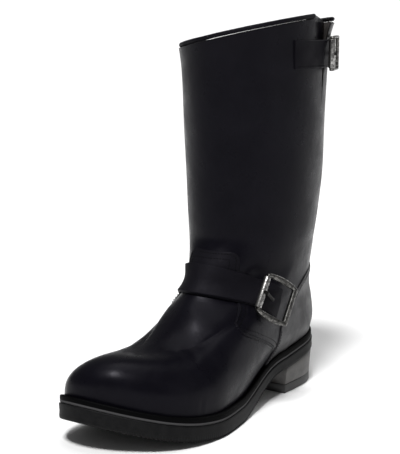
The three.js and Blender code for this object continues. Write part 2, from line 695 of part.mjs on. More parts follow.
// Places a roller buckle on a strap, its frame square to the direction facing. forward points
// from its rear bar to its roller
function addBuckle(prefix, size, guess, strapOffset, forward, facing) {
  const centre = formPoint(guess.u, guess.v, strapOffset);
  const out = facing.clone().normalize();
  const along = forward.clone().addScaledVector(out, -forward.dot(out)).normalize();
  const across = new THREE.Vector3().crossVectors(out, along);
  const heightAt = (a, b, offset) => {
    const start = centre.clone().addScaledVector(along, a).addScaledVector(across, b);
    const place = placeOnLine(start, out, offset, guess);
    return formPoint((place.u + 1) % 1, place.v, offset).sub(start).dot(out);
  };
  const half = size.length / 2;
  const windowHalf = size.strap / 2 + size.margin;
  const sideHalf = size.strap / 2 + size.overhang;
  const rollerAt = half - axleWidth / 2;
  const spots = [-windowHalf, 0, windowHalf];
  const underRoller = Math.max(...spots.map((b) => heightAt(rollerAt, b, strapOffset)));
  const underRear = Math.max(...spots.map((b) => heightAt(barWidth - half, b, strapOffset)));
  const underSides = Math.max(...[-sideHalf, sideHalf].flatMap((b) => (
    [-half / 2, 0, half / 2].map((a) => heightAt(a, b, strapOffset - strapThickness))
  )));
  const middle = seatGap + Math.max(
    underRoller + rollerRadius,
    underRear + barThickness / 2,
    underSides + barThickness / 2,
  );
  const crest = Math.max(...[0, 0.25, 0.5, 0.75].map((share) => heightAt(share * half, 0, strapOffset)));

  const basis = new THREE.Matrix4().makeBasis(along, across, out).setPosition(centre);
  const cornerHalf = Math.min(windowHalf + barWidth * 0.6, sideHalf);
  const swell = 2 * sideHalf - cornerHalf;
  const outline = new THREE.Shape();
  outline.moveTo(half, -cornerHalf);
  outline.lineTo(half, cornerHalf);
  outline.quadraticCurveTo(0, swell, -half, cornerHalf);
  outline.lineTo(-half, -cornerHalf);
  outline.quadraticCurveTo(0, -swell, half, -cornerHalf);
  const opening = new THREE.Path();
  const windowFront = half - axleWidth;
  const windowBack = barWidth - half;
  const windowSwell = windowHalf + size.overhang * 0.45;
  opening.moveTo(windowFront, -windowHalf);
  opening.quadraticCurveTo(0, -windowSwell, windowBack, -windowHalf);
  opening.lineTo(windowBack, windowHalf);
  opening.quadraticCurveTo(0, windowSwell, windowFront, windowHalf);
  outline.holes.push(opening);
  const frame = new THREE.ExtrudeGeometry(outline, {
    depth: barThickness, bevelEnabled: false, curveSegments: 8,
  });
  frame.translate(0, 0, middle - barThickness / 2);

  addPart(`${prefix}_frame`, frame.applyMatrix4(basis), nickel, 0.35, 0.9);

  const rollerHalf = windowHalf - seatGap;
  const roller = new THREE.LatheGeometry([
    new THREE.Vector2(rollerBore, -rollerHalf),
    new THREE.Vector2(rollerRadius, -rollerHalf),
    new THREE.Vector2(rollerRadius, rollerHalf),
    new THREE.Vector2(rollerBore, rollerHalf),
    new THREE.Vector2(rollerBore, -rollerHalf),
  ], 16);
  roller.translate(rollerAt, 0, middle);
  addPart(`${prefix}_roller`, roller.applyMatrix4(basis), nickel, 0.3, 0.9);

  const tip = middle + rollerRadius + seatGap;
  const root = crest + 3 * seatGap;
  const profile = new THREE.Shape([
    new THREE.Vector2(-1, root),
    new THREE.Vector2(rollerAt - rollerRadius, Math.max(root, tip)),
    new THREE.Vector2(half + axleWidth / 2, Math.max(root, tip)),
    new THREE.Vector2(half + axleWidth / 2, Math.max(root, tip) + prongThickness * 0.6),
    new THREE.Vector2(rollerAt - rollerRadius, Math.max(root, tip) + prongThickness),
    new THREE.Vector2(-1, root + prongThickness),
  ]);
  const prong = new THREE.ExtrudeGeometry(profile, { depth: prongWidth, bevelEnabled: false });
  prong.rotateX(Math.PI / 2);
  prong.translate(0, prongWidth / 2, 0);
  addPart(`${prefix}_prong`, prong.applyMatrix4(basis), nickel, 0.35, 0.9);
}

// Instep buckle on the outer side of the ankle
const strapOuter = strapSeat + strapThickness;
const onSide = ([x, z]) => placeOnLine(
  new THREE.Vector3(x, 0, z), new THREE.Vector3(0, 1, 0), strapOuter, { u: 0.22, v: 0.45 },
);
addBuckle(
  'instep_buckle',
  { length: buckleLength, strap: strapWidth, overhang: buckleOverhang, margin: windowMargin },
  onSide(buckleSpot(0, 0)),
  strapOuter,
  new THREE.Vector3(buckleTurn.x, 0, buckleTurn.y),
  buckleNormal,
);

// Collar buckle just behind the slit, on the tilted strap
const collarOuter = seatGap + strapThickness;
const strapFall = Math.tan(strapTilt) * (shaftWidth / 2) * (collarBucklePlace - strapLevel);
const collarGuess = placeOnLine(
  new THREE.Vector3(shaftCentre, 0, collarStrapTop - collarStrapWidth / 2 - strapFall),
  new THREE.Vector3(Math.cos(collarBucklePlace), Math.sin(collarBucklePlace), 0),
  collarOuter,
  { u: uAt(collarBucklePlace), v: 0.93 },
);
addBuckle(
  'collar_buckle',
  {
    length: collarBuckleLength,
    strap: collarStrapWidth,
    overhang: collarBuckleOverhang,
    margin: collarWindowMargin,
  },
  collarGuess,
  collarOuter,
  new THREE.Vector3(Math.sin(collarBuckleFace), -Math.cos(collarBuckleFace), Math.tan(strapTilt)),
  new THREE.Vector3(Math.cos(collarBuckleFace), Math.sin(collarBuckleFace), 0),
);

// The origin lies on the floor under the middle of the whole boot
const bounds = new THREE.Box3().setFromObject(boot);
const centreOfBounds = bounds.getCenter(new THREE.Vector3());
boot.position.set(-centreOfBounds.x, -centreOfBounds.y, -bounds.min.z);

export default boot;
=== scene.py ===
import math

import bpy
import numpy as np
from mathutils import Matrix, Vector


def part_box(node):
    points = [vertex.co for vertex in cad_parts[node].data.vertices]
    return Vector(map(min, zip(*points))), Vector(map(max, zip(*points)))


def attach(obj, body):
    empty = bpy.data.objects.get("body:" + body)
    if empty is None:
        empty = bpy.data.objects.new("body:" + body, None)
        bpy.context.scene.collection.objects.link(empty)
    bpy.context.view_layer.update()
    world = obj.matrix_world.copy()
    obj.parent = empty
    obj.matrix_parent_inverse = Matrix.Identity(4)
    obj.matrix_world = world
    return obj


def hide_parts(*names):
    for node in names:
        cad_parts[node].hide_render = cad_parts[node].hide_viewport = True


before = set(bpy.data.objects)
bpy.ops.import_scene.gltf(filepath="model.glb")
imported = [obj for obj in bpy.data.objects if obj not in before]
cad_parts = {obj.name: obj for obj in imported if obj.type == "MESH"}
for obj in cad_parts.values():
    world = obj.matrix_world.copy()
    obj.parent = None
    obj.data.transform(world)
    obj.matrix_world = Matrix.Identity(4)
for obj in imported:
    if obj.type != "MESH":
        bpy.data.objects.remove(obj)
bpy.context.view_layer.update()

# Shape of the boot, in millimetres from the back of the sole: x to the toe, y to the outer side
SOLE_LENGTH = 300.0
BALL_WIDTH = 113.0
BOOT_HEIGHT = 345.0
INSTEP_HEIGHT = 124.0
SHAFT_DEPTH = 155.0
SHAFT_WIDTH = 117.0
COLLAR_TILT = 14.0
COLLAR_LOW = 4.7
COLLAR_FLARE = 6.0
WALL = 2.4
GAP = 0.3
HEEL_HEIGHT = 35.0
BREAST_HEIGHT = 24.4
HEEL_LENGTH = 74.0
SEAT_THICKNESS = 10.0
SOLE_THICKNESS = 14.0
TOE_SPRING = 25.0
TREAD_START = 165.0
TREAD_FLAT = 25.0
LIFT_THICKNESS = 8.3
HEEL_TAPER = 2.4
RAND_HEIGHT = 7.0
RAND_INSET = 0.8
RAND_THICKNESS = 4.2
INSOLE_THICKNESS = 4.0
COUNTER_THICKNESS = 1.6
TAB_THICKNESS = 1.3
STRAP_THICKNESS = 2.2
STRAP_WIDTH = 27.0
COLLAR_STRAP_WIDTH = 25.0
COLLAR_STRAP_DROP = 19.0
BEAD_RADIUS = 2.0
SLIT_DEPTH = 78.0
HALF_BALL = BALL_WIDTH / 2
SHAFT_RISE = BOOT_HEIGHT - INSTEP_HEIGHT

# along, centre, half
FOOTPRINT = np.array([
    (0, 0, 0.67), (0.15, 0.01, 0.67), (0.25, 0.03, 0.655), (0.35, 0.06, 0.64), (0.46, 0.085, 0.71),
    (0.57, 0.06, 0.865), (0.67, 0.02, 0.98), (0.755, -0.05, 1.01), (0.84, -0.145, 1.035),
    (0.91, -0.27, 1.06), (1, -0.46, 1.06),
])
RING_NAMES = ("back", "front", "rise", "rear", "fore", "outer", "inner", "middle", "heel", "toe",
              "print", "sway", "bulge", "collar")
FOOT_RINGS = [
    (0.017, 0.983, 0, 0.37, 0.29, 0.93, 0.93, 0.7, 3, 2, 1, 1, 0),
    (0.014, 0.986, RAND_HEIGHT / INSTEP_HEIGHT, 0.45, 0.37, 0.95, 0.93, 0.7, 3, 2, 1, 0.9, 0.08 * WALL),
    (0.006, 0.98, 0.16, 0.54, 0.44, 0.96, 0.91, 0.68, 3, 2.1, 0.6, 0.8, 0.5 * WALL),
    (0.004, 0.96, 0.28, 0.66, 0.535, 0.86, 0.8, 0.62, 2.8, 2, 0.25, 0.75, 0),
    (0.01, 0.918, 0.38, 0.75, 0.605, 0.8, 0.68, 0.54, 2.6, 1.95, 0.06, 0.75, 0),
    (0.015, 0.86, 0.5, 0.82, 0.64, 0.77, 0.65, 0.46, 2.5, 1.9, 0, 0.8, 0),
    (0.018, 0.795, 0.5, 0.88, 0.655, 0.765, 0.65, 0.41, 2.4, 1.95, 0, 0.7, 0),
    (0.017, 0.75, 0.5, 0.935, 0.69, 0.765, 0.665, 0.4, 2.35, 2.05, 0, 0.5, 0),
    (0.016, 0.66, 0.5, 0.99, 0.81, 0.775, 0.665, 0.42, 2.3, 1.45, 0, 0.25, 0),
    (0.014, 0.58, 0.5, 1.055, 0.93, 0.8, 0.7, 0.44, 2.2, 1.4, 0, 0.08, 0),
    (0.012, 0.52, 0.5, 1.13, 1.07, 0.835, 0.8, 0.47, 2.1, 1.75, 0, 0, 0),
]
# Hollow of the vamp behind the toe box, as shares: place along the sole, reach, depth
HOLLOW_ALONG, HOLLOW_REACH, HOLLOW_DEPTH = 0.733, 0.23, 0.178
RIDGE_SOFTNESS = 0.17
# up, centre, depth, width
SHAFT_RINGS = [
    (0.13, 0.244, 0.9, 0.865), (0.21, 0.24, 0.91, 0.9), (0.37, 0.235, 0.94, 0.94),
    (0.58, 0.235, 0.965, 0.97), (0.78, 0.236, 0.99, 0.99), (0.92, 0.239, 1.01, 1),
    (1, 0.243, 1.035, 1.01),
]
SHAFT_CENTRE = SHAFT_RINGS[4][1] * SOLE_LENGTH
SLIT_FRONT = math.radians(95)
SLIT_BACK = math.radians(114)
FLARE_END = math.radians(165)


def curve(values):
    """Smooth curve through evenly placed values, over 0 to 1."""
    p = np.asarray(values, float)
    padded = np.concatenate([[2 * p[0] - p[1]], p, [2 * p[-1] - p[-2]]])

    def at(t):
        place = np.clip(t, 0, 1) * (len(p) - 1)
        i = np.minimum(place.astype(int), len(p) - 2)
        w = place - i
        p0, p1, p2, p3 = padded[i], padded[i + 1], padded[i + 2], padded[i + 3]
        m1, m2 = (p2 - p0) / 2, (p3 - p1) / 2
        w2, w3 = w * w, w * w * w
        return (2 * w3 - 3 * w2 + 1) * p1 + (w3 - 2 * w2 + w) * m1 + (3 * w2 - 2 * w3) * p2 + (w3 - w2) * m2

    return at


def curve_at(places, values):
    """The same for values at uneven places."""
    at = curve(values)
    last = len(places) - 1
    return lambda x: at(np.interp(x, places, np.arange(last + 1)) / last)


def ramp(x, low, high):
    t = np.clip((np.asarray(x, float) - low) / (high - low), 0, 1)
    return t * t * (3 - 2 * t)


def mix(a, b, t):
    return a + (b - a) * t


print_centre = curve_at(FOOTPRINT[:, 0], FOOTPRINT[:, 1])
print_half = curve_at(FOOTPRINT[:, 0], FOOTPRINT[:, 2])


def ring_rows():
    scale = (SOLE_LENGTH, SOLE_LENGTH, INSTEP_HEIGHT, INSTEP_HEIGHT, INSTEP_HEIGHT, HALF_BALL, HALF_BALL)
    rows = [tuple(a * b for a, b in zip(row, scale)) + row[7:] + (0,) for row in FOOT_RINGS]
    for up, centre, depth, width in SHAFT_RINGS:
        middle, half = centre * SOLE_LENGTH, depth * SHAFT_DEPTH / 2
        height, side = INSTEP_HEIGHT + up * SHAFT_RISE, width * SHAFT_WIDTH / 2
        rows.append((middle - half, middle + half, INSTEP_HEIGHT / 2, height, height, side, side,
                     0.5, 2, 2, 0, 0, 0, up))
    return np.array(rows, float)


RINGS = ring_rows()
ring = {name: curve(RINGS[:, i]) for i, name in enumerate(RING_NAMES)}
LAST_RING = len(RINGS) - 1


def along_at(u):
    return (1 - np.cos(2 * np.pi * u)) / 2


def u_of_x(x):
    return np.arccos(1 - 2 * np.clip(x / SOLE_LENGTH, 0, 1)) / (2 * np.pi)


def side_of(u):
    return np.where(u % 1 < 0.5, 1.0, -1.0)


def rounded_ends(s):
    heel = np.clip((0.15 - s) / 0.15, 0, 1)
    toe = np.clip((s - 0.73) / 0.27, 0, 1)
    return np.maximum(0, 1 - heel ** 2.25) ** (1 / 2.25) * np.sqrt(np.maximum(0, 1 - toe ** 2))


def outline(u):
    s = along_at(u)
    half = print_half(s) * rounded_ends(s)
    return s * SOLE_LENGTH, HALF_BALL * (print_centre(s) + side_of(u) * half)


def outline_inset(u, inset):
    x0, y0 = outline(u - 0.004)
    x1, y1 = outline(u + 0.004)
    length = np.hypot(x1 - x0, y1 - y0)
    x, y = outline(u)
    return x + (y1 - y0) / length * inset, y - (x1 - x0) / length * inset


def underside(x):
    heel = mix(HEEL_HEIGHT, BREAST_HEIGHT, x / HEEL_LENGTH)
    waist = BREAST_HEIGHT * (1 - ramp(x, HEEL_LENGTH, TREAD_START))
    start = TREAD_START + TREAD_FLAT
    rise = np.clip((x - start) / (SOLE_LENGTH - start), 0, None)
    return np.where(x < HEEL_LENGTH, heel, np.where(x < TREAD_START, waist, TOE_SPRING * rise * rise))


def sole_top(x):
    return underside(x) + mix(SEAT_THICKNESS, SOLE_THICKNESS, ramp(x, HEEL_LENGTH, TREAD_START))


def collar_edge(angle):
    behind = ramp(angle, SLIT_FRONT, SLIT_BACK) * (1 - ramp(angle, SLIT_BACK, np.pi) * 0.6)
    return COLLAR_TILT * (np.sin(angle - math.radians(15)) - 1) - COLLAR_LOW * np.maximum(0, behind)


def angle_at(u):
    return np.pi * (1 - 2 * (u % 1))


def u_at(angle):
    return (np.pi - angle) / (2 * np.pi)


def ridge_round(profile, power, length):
    """How far a narrow front is drawn back so that its middle line stays round."""
    change = (profile ** 2 + RIDGE_SOFTNESS ** 2) ** (power / 2) - profile ** power
    share = np.clip((2 - power) / 0.5, 0, 1) * (1 - ramp(profile, 0.15, 0.55))
    return change * share * length / power


def surface(u, v, flare_size=COLLAR_FLARE):
    """Outer surface of the upper: u runs once round from the heel's back, v from sole to collar."""
    u, v = np.broadcast_arrays(np.asarray(u, float) % 1, np.asarray(v, float))
    s, side = along_at(u), side_of(u)
    r = {name: ring[name](v) for name in RING_NAMES}
    middle, foot = r["middle"], np.clip(r["print"], 0, 1)
    x = mix(r["back"], r["front"], s)
    rear = s < middle
    toward = np.where(rear, (middle - s) / middle, (s - middle) / (1 - middle))
    power = np.where(rear, r["heel"], r["toe"])
    profile = np.maximum(0, 1 - np.abs(toward) ** power) ** (1 / power)
    x = x - ridge_round(profile, power, np.where(rear, 0, (1 - middle) * (r["front"] - r["back"])))
    oval = side * profile * np.where(side > 0, r["outer"], r["inner"])
    flat_x, flat_y = outline_inset(u, RAND_INSET + RAND_THICKNESS - r["bulge"])
    place = mix(x, flat_x, foot)
    sway = r["sway"] * print_centre(x / SOLE_LENGTH) * HALF_BALL
    y = mix(oval + sway, flat_y, foot)
    z = mix(mix(r["rear"], r["fore"], s), sole_top(place) + GAP + r["rise"], foot)
    from_hollow = np.abs(place / SOLE_LENGTH - HOLLOW_ALONG)
    z = mix(z, sole_top(place), HOLLOW_DEPTH * (1 - ramp(from_hollow, 0, HOLLOW_REACH)) * (1 - foot))
    collar, angle = np.clip(r["collar"], 0, 1), angle_at(u)
    z = z + collar * collar_edge(angle)
    spread = ramp(angle, SLIT_FRONT, SLIT_BACK) * (1 - ramp(angle, SLIT_BACK, FLARE_END))
    flare = flare_size * spread * collar ** 14
    return np.stack([place + flare * np.cos(angle), y + flare * np.sin(angle), z], -1)


def unit(a):
    return a / np.maximum(np.linalg.norm(a, axis=-1, keepdims=True), 1e-9)


def tangents(u, v, flare_size=COLLAR_FLARE):
    step = 0.003
    low, high = np.maximum(0, v - step), np.minimum(1, v + step)
    around = (surface(u + step, v, flare_size) - surface(u - step, v, flare_size)) / (2 * step)
    up = (surface(u, high, flare_size) - surface(u, low, flare_size)) / (high - low)[..., None]
    return around, up


def normals(u, v, flare_size=COLLAR_FLARE):
    u, v = np.broadcast_arrays(np.asarray(u, float), np.asarray(v, float))
    around, up = tangents(u, v, flare_size)
    return unit(np.cross(up, around))


def form(u, v, offset, flare_size=COLLAR_FLARE):
    u, v = np.broadcast_arrays(np.asarray(u, float), np.asarray(v, float))
    return surface(u, v, flare_size) + normals(u, v, flare_size) * np.asarray(offset, float)[..., None]


# Where the boot's own millimetres lie in the row frame
loop48 = np.arange(48) / 48
sole_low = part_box("outsole")[0]
SHIFT = np.array([sole_low[0] * 1000, sole_low[1] * 1000 - outline(loop48)[1].min(), 0.0])


def to_row(points):
    return (np.asarray(points, float) + SHIFT) / 1000


def volume(points, faces):
    corners = [(f[0], f[k], f[k + 1]) for f in faces for k in range(1, len(f) - 1)]
    a, b, c = (points[np.array(corners)[:, k]] for k in range(3))
    return float(np.einsum("ij,ij->i", a, np.cross(b, c)).sum()) / 6


def add_mesh(name, points, faces, attributes=None, closed=True):
    """One mesh piece from points in the boot's millimetres and index faces, a closed one turned outwards."""
    points = np.asarray(points, float)
    faces = [tuple(int(i) for i in face) for face in faces]
    if closed and volume(points, faces) < 0:
        faces = [face[::-1] for face in faces]
    mesh = bpy.data.meshes.new(name)
    mesh.from_pydata(to_row(points).tolist(), [], faces)
    mesh.polygons.foreach_set("use_smooth", [True] * len(mesh.polygons))
    for key, values in (attributes or {}).items():
        layer = mesh.attributes.new(key, "FLOAT", "POINT")
        layer.data.foreach_set("value", np.asarray(values, np.float32).ravel())
    mesh.update()
    piece = bpy.data.objects.new(name, mesh)
    bpy.context.scene.collection.objects.link(piece)
    return piece


def finish_piece(piece, material, slot, *nodes):
    piece.data.materials.clear()
    piece.data.materials.append(material)
    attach(piece, "root")
    if nodes:
        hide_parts(*nodes)


def around_circle(count):
    turn = 2 * np.pi * np.arange(count) / count
    return np.cos(turn), np.sin(turn)


def grid_faces(rows, columns, closed=False):
    """Quads between rows of points; closed joins the last column to the first."""
    i = np.arange(rows - 1)[:, None]
    j = np.arange(columns if closed else columns - 1)[None, :]
    following = (j + 1) % columns
    a, b = i * columns + j, i * columns + following
    return np.stack([a, b, b + columns, a + columns], -1).reshape(-1, 4)


def cross_strips(first, count, flip):
    """Closes a loop with strips from its outer to its inner side."""
    i = np.arange(count // 2)
    a, b = first + i, first + i + 1
    c, d = first + (count - i - 1) % count, first + (count - i) % count
    strips = [tuple(dict.fromkeys(quad)) for quad in np.stack([a, d, c, b], -1).tolist()]
    return [strip[::-1] if flip else strip for strip in strips if len(strip) >= 3]


def loft(name, rings, capped=False):
    """Closed piece from rings of points. Its ends get strips across, or one face each where capped."""
    rows, columns = len(rings), len(rings[0])
    last = (rows - 1) * columns
    faces = grid_faces(rows, columns, closed=True).tolist()
    if capped:
        faces += [range(columns)[::-1], range(last, last + columns)]
    else:
        faces += cross_strips(0, columns, True) + cross_strips(last, columns, False)
    return add_mesh(name, np.concatenate(rings), faces)


def hoop(name, rings, attributes=None):
    """Closed piece from rings of points, the last one joined to the first."""
    rows, columns = len(rings), len(rings[0])
    faces = grid_faces(rows + 1, columns, closed=True) % (rows * columns)
    return add_mesh(name, np.concatenate(rings), faces, attributes)


SEARCH_U = np.linspace(0, 1, 241)[:-1]
SEARCH_V = np.linspace(0, 1, 200)
SEARCH = surface(SEARCH_U[:, None], SEARCH_V[None, :])


def locate(targets, axes, allowed):
    """Surface parameters of points given by two of their coordinates. allowed picks the part of u."""
    targets = np.atleast_2d(targets)
    chosen = np.nonzero(allowed(SEARCH_U))[0]
    table = SEARCH[chosen][:, :, axes]
    distance = np.linalg.norm(table[None] - targets[:, None, None, :], axis=-1).reshape(len(targets), -1)
    best = distance.argmin(1)
    u = SEARCH_U[chosen[best // len(SEARCH_V)]]
    v = SEARCH_V[best % len(SEARCH_V)]
    for _ in range(6):
        away = targets - surface(u, v)[:, axes]
        around, up = tangents(u, v)
        a, b = around[:, axes], up[:, axes]
        det = a[:, 0] * b[:, 1] - a[:, 1] * b[:, 0]
        det = np.where(np.abs(det) < 1e-3, 1e-3, det)
        du = (away[:, 0] * b[:, 1] - away[:, 1] * b[:, 0]) / det
        dv = (a[:, 0] * away[:, 1] - a[:, 1] * away[:, 0]) / det
        u = u + np.clip(du, -0.02, 0.02)
        v = np.clip(v + np.clip(dv, -0.04, 0.04), 0, 1)
    return u, v


def from_side(points, outer=True):
    """Parameters of side-view points (x, z) on the outer or inner side."""
    if outer:
        return locate(points, [0, 2], lambda u: (u > 0.01) & (u < 0.49))
    return locate(points, [0, 2], lambda u: (u > 0.51) & (u < 0.99))


def from_shaft(angles, heights):
    """Parameters of shaft points by angle round it and height."""
    angles, heights = np.broadcast_arrays(np.asarray(angles, float), np.asarray(heights, float))
    u = u_at(angles)
    levels = np.linspace(0.4, 1, 240)
    z = surface(u.ravel()[:, None], levels[None, :])[..., 2]
    v = np.array([np.interp(h, row, levels) for h, row in zip(heights.ravel(), z)])
    return u, v.reshape(u.shape)


def smooth_line(points, count):
    """Evenly spaced points of a smooth curve through the given ones."""
    p = np.asarray(points, float)
    t = np.linspace(0, 1, 40 * len(p))
    fine = np.stack([curve(p[:, k])(t) for k in range(p.shape[1])], -1)
    length = np.concatenate([[0], np.cumsum(np.linalg.norm(np.diff(fine, axis=0), axis=1))])
    place = np.linspace(0, length[-1], count)
    return np.stack([np.interp(place, length, fine[:, k]) for k in range(p.shape[1])], -1)


def beside(u, v, distance):
    """A line on the surface moved sideways by distance millimetres, to the left of its run."""
    p = surface(u, v)
    run = unit(np.gradient(p, axis=0))
    side = np.cross(normals(u, v), run) * distance
    around, up = tangents(u, v)
    aa, bb, ab = (around ** 2).sum(-1), (up ** 2).sum(-1), (around * up).sum(-1)
    sa, sb = (side * around).sum(-1), (side * up).sum(-1)
    det = np.maximum(aa * bb - ab * ab, 1e-6)
    return u + (sa * bb - sb * ab) / det, np.clip(v + (sb * aa - sa * ab) / det, 0, 1)


def line_distance(x, z, line):
    """Signed distance of side-view points to a line, positive on its right."""
    a, b = line[:-1], line[1:]
    run = b - a
    length2 = np.maximum((run ** 2).sum(-1), 1e-9)
    best = np.full(x.shape, 1e9)
    sign = np.ones(x.shape)
    for i in range(len(a)):
        t = np.clip(((x - a[i, 0]) * run[i, 0] + (z - a[i, 1]) * run[i, 1]) / length2[i], 0, 1)
        dx, dz = x - a[i, 0] - t * run[i, 0], z - a[i, 1] - t * run[i, 1]
        d = np.hypot(dx, dz)
        nearer = d < best
        best = np.where(nearer, d, best)
        sign = np.where(nearer, np.sign(run[i, 1] * dx - run[i, 0] * dz), sign)
    return best * np.where(sign == 0, 1, sign)


def patch(name, u, v, thickness, gap=GAP, rim=0.5):
    """A thin panel on the upper with rounded edges, from a grid of surface parameters."""
    rows, columns = u.shape

    def order(count, spacing):
        inset, last = min(0.45, rim / max(spacing, 1e-6)), count - 1
        return np.concatenate([[0, 0, inset], np.arange(1, last), [last - inset, last, last]])

    def profile(count):
        return np.concatenate([[0, 0.6], np.ones(count - 4), [0.6, 0]])

    p = surface(u, v)
    down = np.linalg.norm(np.diff(p, axis=0), axis=-1).mean()
    over = np.linalg.norm(np.diff(p, axis=1), axis=-1).mean()
    row_at, column_at = order(rows, down), order(columns, over)

    def sample(grid):
        i, j = np.minimum(row_at.astype(int), rows - 2), np.minimum(column_at.astype(int), columns - 2)
        fi, fj = (row_at - i)[:, None], (column_at - j)[None, :]
        g00, g01 = grid[np.ix_(i, j)], grid[np.ix_(i, j + 1)]
        g10, g11 = grid[np.ix_(i + 1, j)], grid[np.ix_(i + 1, j + 1)]
        return (g00 * (1 - fi) + g10 * fi) * (1 - fj) + (g01 * (1 - fi) + g11 * fi) * fj

    height = np.minimum(profile(len(row_at))[:, None], profile(len(column_at))[None, :])
    top = form(sample(u), sample(v), gap + thickness * height)
    bottom = form(sample(u), sample(v), gap * 0.4)
    return slab(name, top, bottom)


def slab(name, top, bottom):
    """Closed sheet between two grids of points of one size."""
    rows, columns = top.shape[:2]
    n = rows * columns
    quads = grid_faces(rows, columns)
    faces = quads.tolist() + (quads[:, ::-1] + n).tolist()
    edge = ([(0, j) for j in range(columns)] + [(i, columns - 1) for i in range(1, rows)]
            + [(rows - 1, j) for j in range(columns - 2, -1, -1)] + [(i, 0) for i in range(rows - 2, 0, -1)])
    index = [i * columns + j for i, j in edge]
    faces += [(b, a, a + n, b + n) for a, b in zip(index, index[1:] + index[:1])]
    return add_mesh(name, np.concatenate([top.reshape(-1, 3), bottom.reshape(-1, 3)]), faces)


thread_points, thread_faces = [], []


def stitch_row(points, out, pitch=2.6, length=1.9, radius=0.33, sink=0.12):
    """Separate raised stitches along a line, gathered into one mesh."""
    run = np.concatenate([[0], np.cumsum(np.linalg.norm(np.diff(points, axis=0), axis=1))])
    count = int(run[-1] // pitch)
    if count < 1:
        return
    middle = (np.arange(count) + 0.5) * run[-1] / count

    def at(place, values):
        return np.stack([np.interp(place, run, values[:, k]) for k in range(3)], -1)

    centre, normal = at(middle, points), unit(at(middle, out))
    along = unit(at(middle + 0.4, points) - at(middle - 0.4, points))
    across = unit(np.cross(normal, along))
    sides = 6
    shape = [(-0.5, 0.0, -0.5), (-0.36, 0.8, 0.1), (0.0, 1.0, 0.35), (0.36, 0.8, 0.1), (0.5, 0.0, -0.5)]
    for c, n, t, w in zip(centre, normal, along, across):
        base = sum(len(p) for p in thread_points)
        rings = []
        for place, fat, raised in shape:
            core = c + t * place * length + n * (raised - sink) * radius
            turn_c, turn_s = around_circle(sides if fat else 1)
            rings.append(core + radius * fat * (turn_c[:, None] * w + turn_s[:, None] * n))
        thread_points.append(np.concatenate(rings))
        first, last = base, base + 1 + 3 * sides
        for k in range(sides):
            following = (k + 1) % sides
            thread_faces.append((first, first + 1 + following, first + 1 + k))
            for level in (0, 1):
                a, b = first + 1 + level * sides, first + 1 + (level + 1) * sides
                thread_faces.append((a + k, a + following, b + following, b + k))
            thread_faces.append((last, last - sides + k, last - sides + following))


def sew(u, v, offset, **options):
    stitch_row(form(u, v, offset), normals(u, v), **options)


def node_points(name):
    """Corners of a CAD node in the boot's own millimetres."""
    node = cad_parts[name]
    return np.array([node.matrix_world @ v.co for v in node.data.vertices]) * 1000 - SHIFT


# Materials, each with its numbers straight on the sockets
def material(name, base, rough, metal=0.0, shine=0.5, coat=0.0):
    m = bpy.data.materials.new(name)
    m.use_nodes = True
    shader = m.node_tree.nodes["Principled BSDF"]
    shader.inputs["Base Color"].default_value = (*base, 1)
    for key, number in (("Roughness", rough), ("Metallic", metal), ("Specular IOR Level", shine),
                        ("Coat Weight", coat), ("Coat Roughness", 0.3)):
        shader.inputs[key].default_value = number
    return m, m.node_tree, shader


def noise(tree, scale, detail=4.0, rough=0.5, distortion=0.0):
    place = tree.nodes.new("ShaderNodeTexCoord")
    n = tree.nodes.new("ShaderNodeTexNoise")
    n.inputs["Scale"].default_value = scale
    n.inputs["Detail"].default_value = detail
    n.inputs["Roughness"].default_value = rough
    n.inputs["Distortion"].default_value = distortion
    tree.links.new(place.outputs["Object"], n.inputs["Vector"])
    return n.outputs["Fac"]


def voronoi(tree, scale):
    place = tree.nodes.new("ShaderNodeTexCoord")
    n = tree.nodes.new("ShaderNodeTexVoronoi")
    n.feature = "DISTANCE_TO_EDGE"
    n.inputs["Scale"].default_value = scale
    tree.links.new(place.outputs["Object"], n.inputs["Vector"])
    return n.outputs["Distance"]


def attribute(tree, name):
    n = tree.nodes.new("ShaderNodeAttribute")
    n.attribute_name = name
    return n.outputs["Fac"]


def to_range(tree, value, low, high, out_low, out_high):
    n = tree.nodes.new("ShaderNodeMapRange")
    n.interpolation_type = "SMOOTHSTEP"
    for key, number in (("From Min", low), ("From Max", high), ("To Min", out_low), ("To Max", out_high)):
        n.inputs[key].default_value = number
    tree.links.new(value, n.inputs["Value"])
    return n.outputs["Result"]


def colours(tree, value, *stops):
    n = tree.nodes.new("ShaderNodeValToRGB")
    elements = n.color_ramp.elements
    while len(elements) < len(stops):
        elements.new(0.5)
    for element, (place, colour) in zip(elements, stops):
        element.position = place
        element.color = (*colour, 1)
    tree.links.new(value, n.inputs["Fac"])
    return n.outputs["Color"]


def bump(tree, height, strength, distance, before=None):
    n = tree.nodes.new("ShaderNodeBump")
    n.inputs["Strength"].default_value = strength
    n.inputs["Distance"].default_value = distance
    tree.links.new(height, n.inputs["Height"])
    if before is not None:
        tree.links.new(before, n.inputs["Normal"])
    return n.outputs["Normal"]


def leather(name, dark, light, rough, coat=0.0, shine=0.14):
    """Oiled leather: fine grain, pores and slow changes of tone and gloss."""
    m, tree, shader = material(name, dark, rough, shine=shine, coat=coat)
    shader.inputs["Specular Tint"].default_value = (0.9, 0.87, 1, 1)
    tone = noise(tree, 22, 5, 0.55, 0.4)
    tree.links.new(colours(tree, tone, (0.3, dark), (0.75, light)), shader.inputs["Base Color"])
    tree.links.new(to_range(tree, noise(tree, 60, 4, 0.6), 0.3, 0.7, rough - 0.06, rough + 0.1),
                   shader.inputs["Roughness"])
    pores = bump(tree, voronoi(tree, 1500), 0.35, 0.00012)
    folds = bump(tree, noise(tree, 420, 6, 0.6), 0.28, 0.00022, pores)
    soft = bump(tree, noise(tree, 70, 3, 0.5), 0.5, 0.0006, folds)
    tree.links.new(soft, shader.inputs["Normal"])
    return m, tree, shader, soft


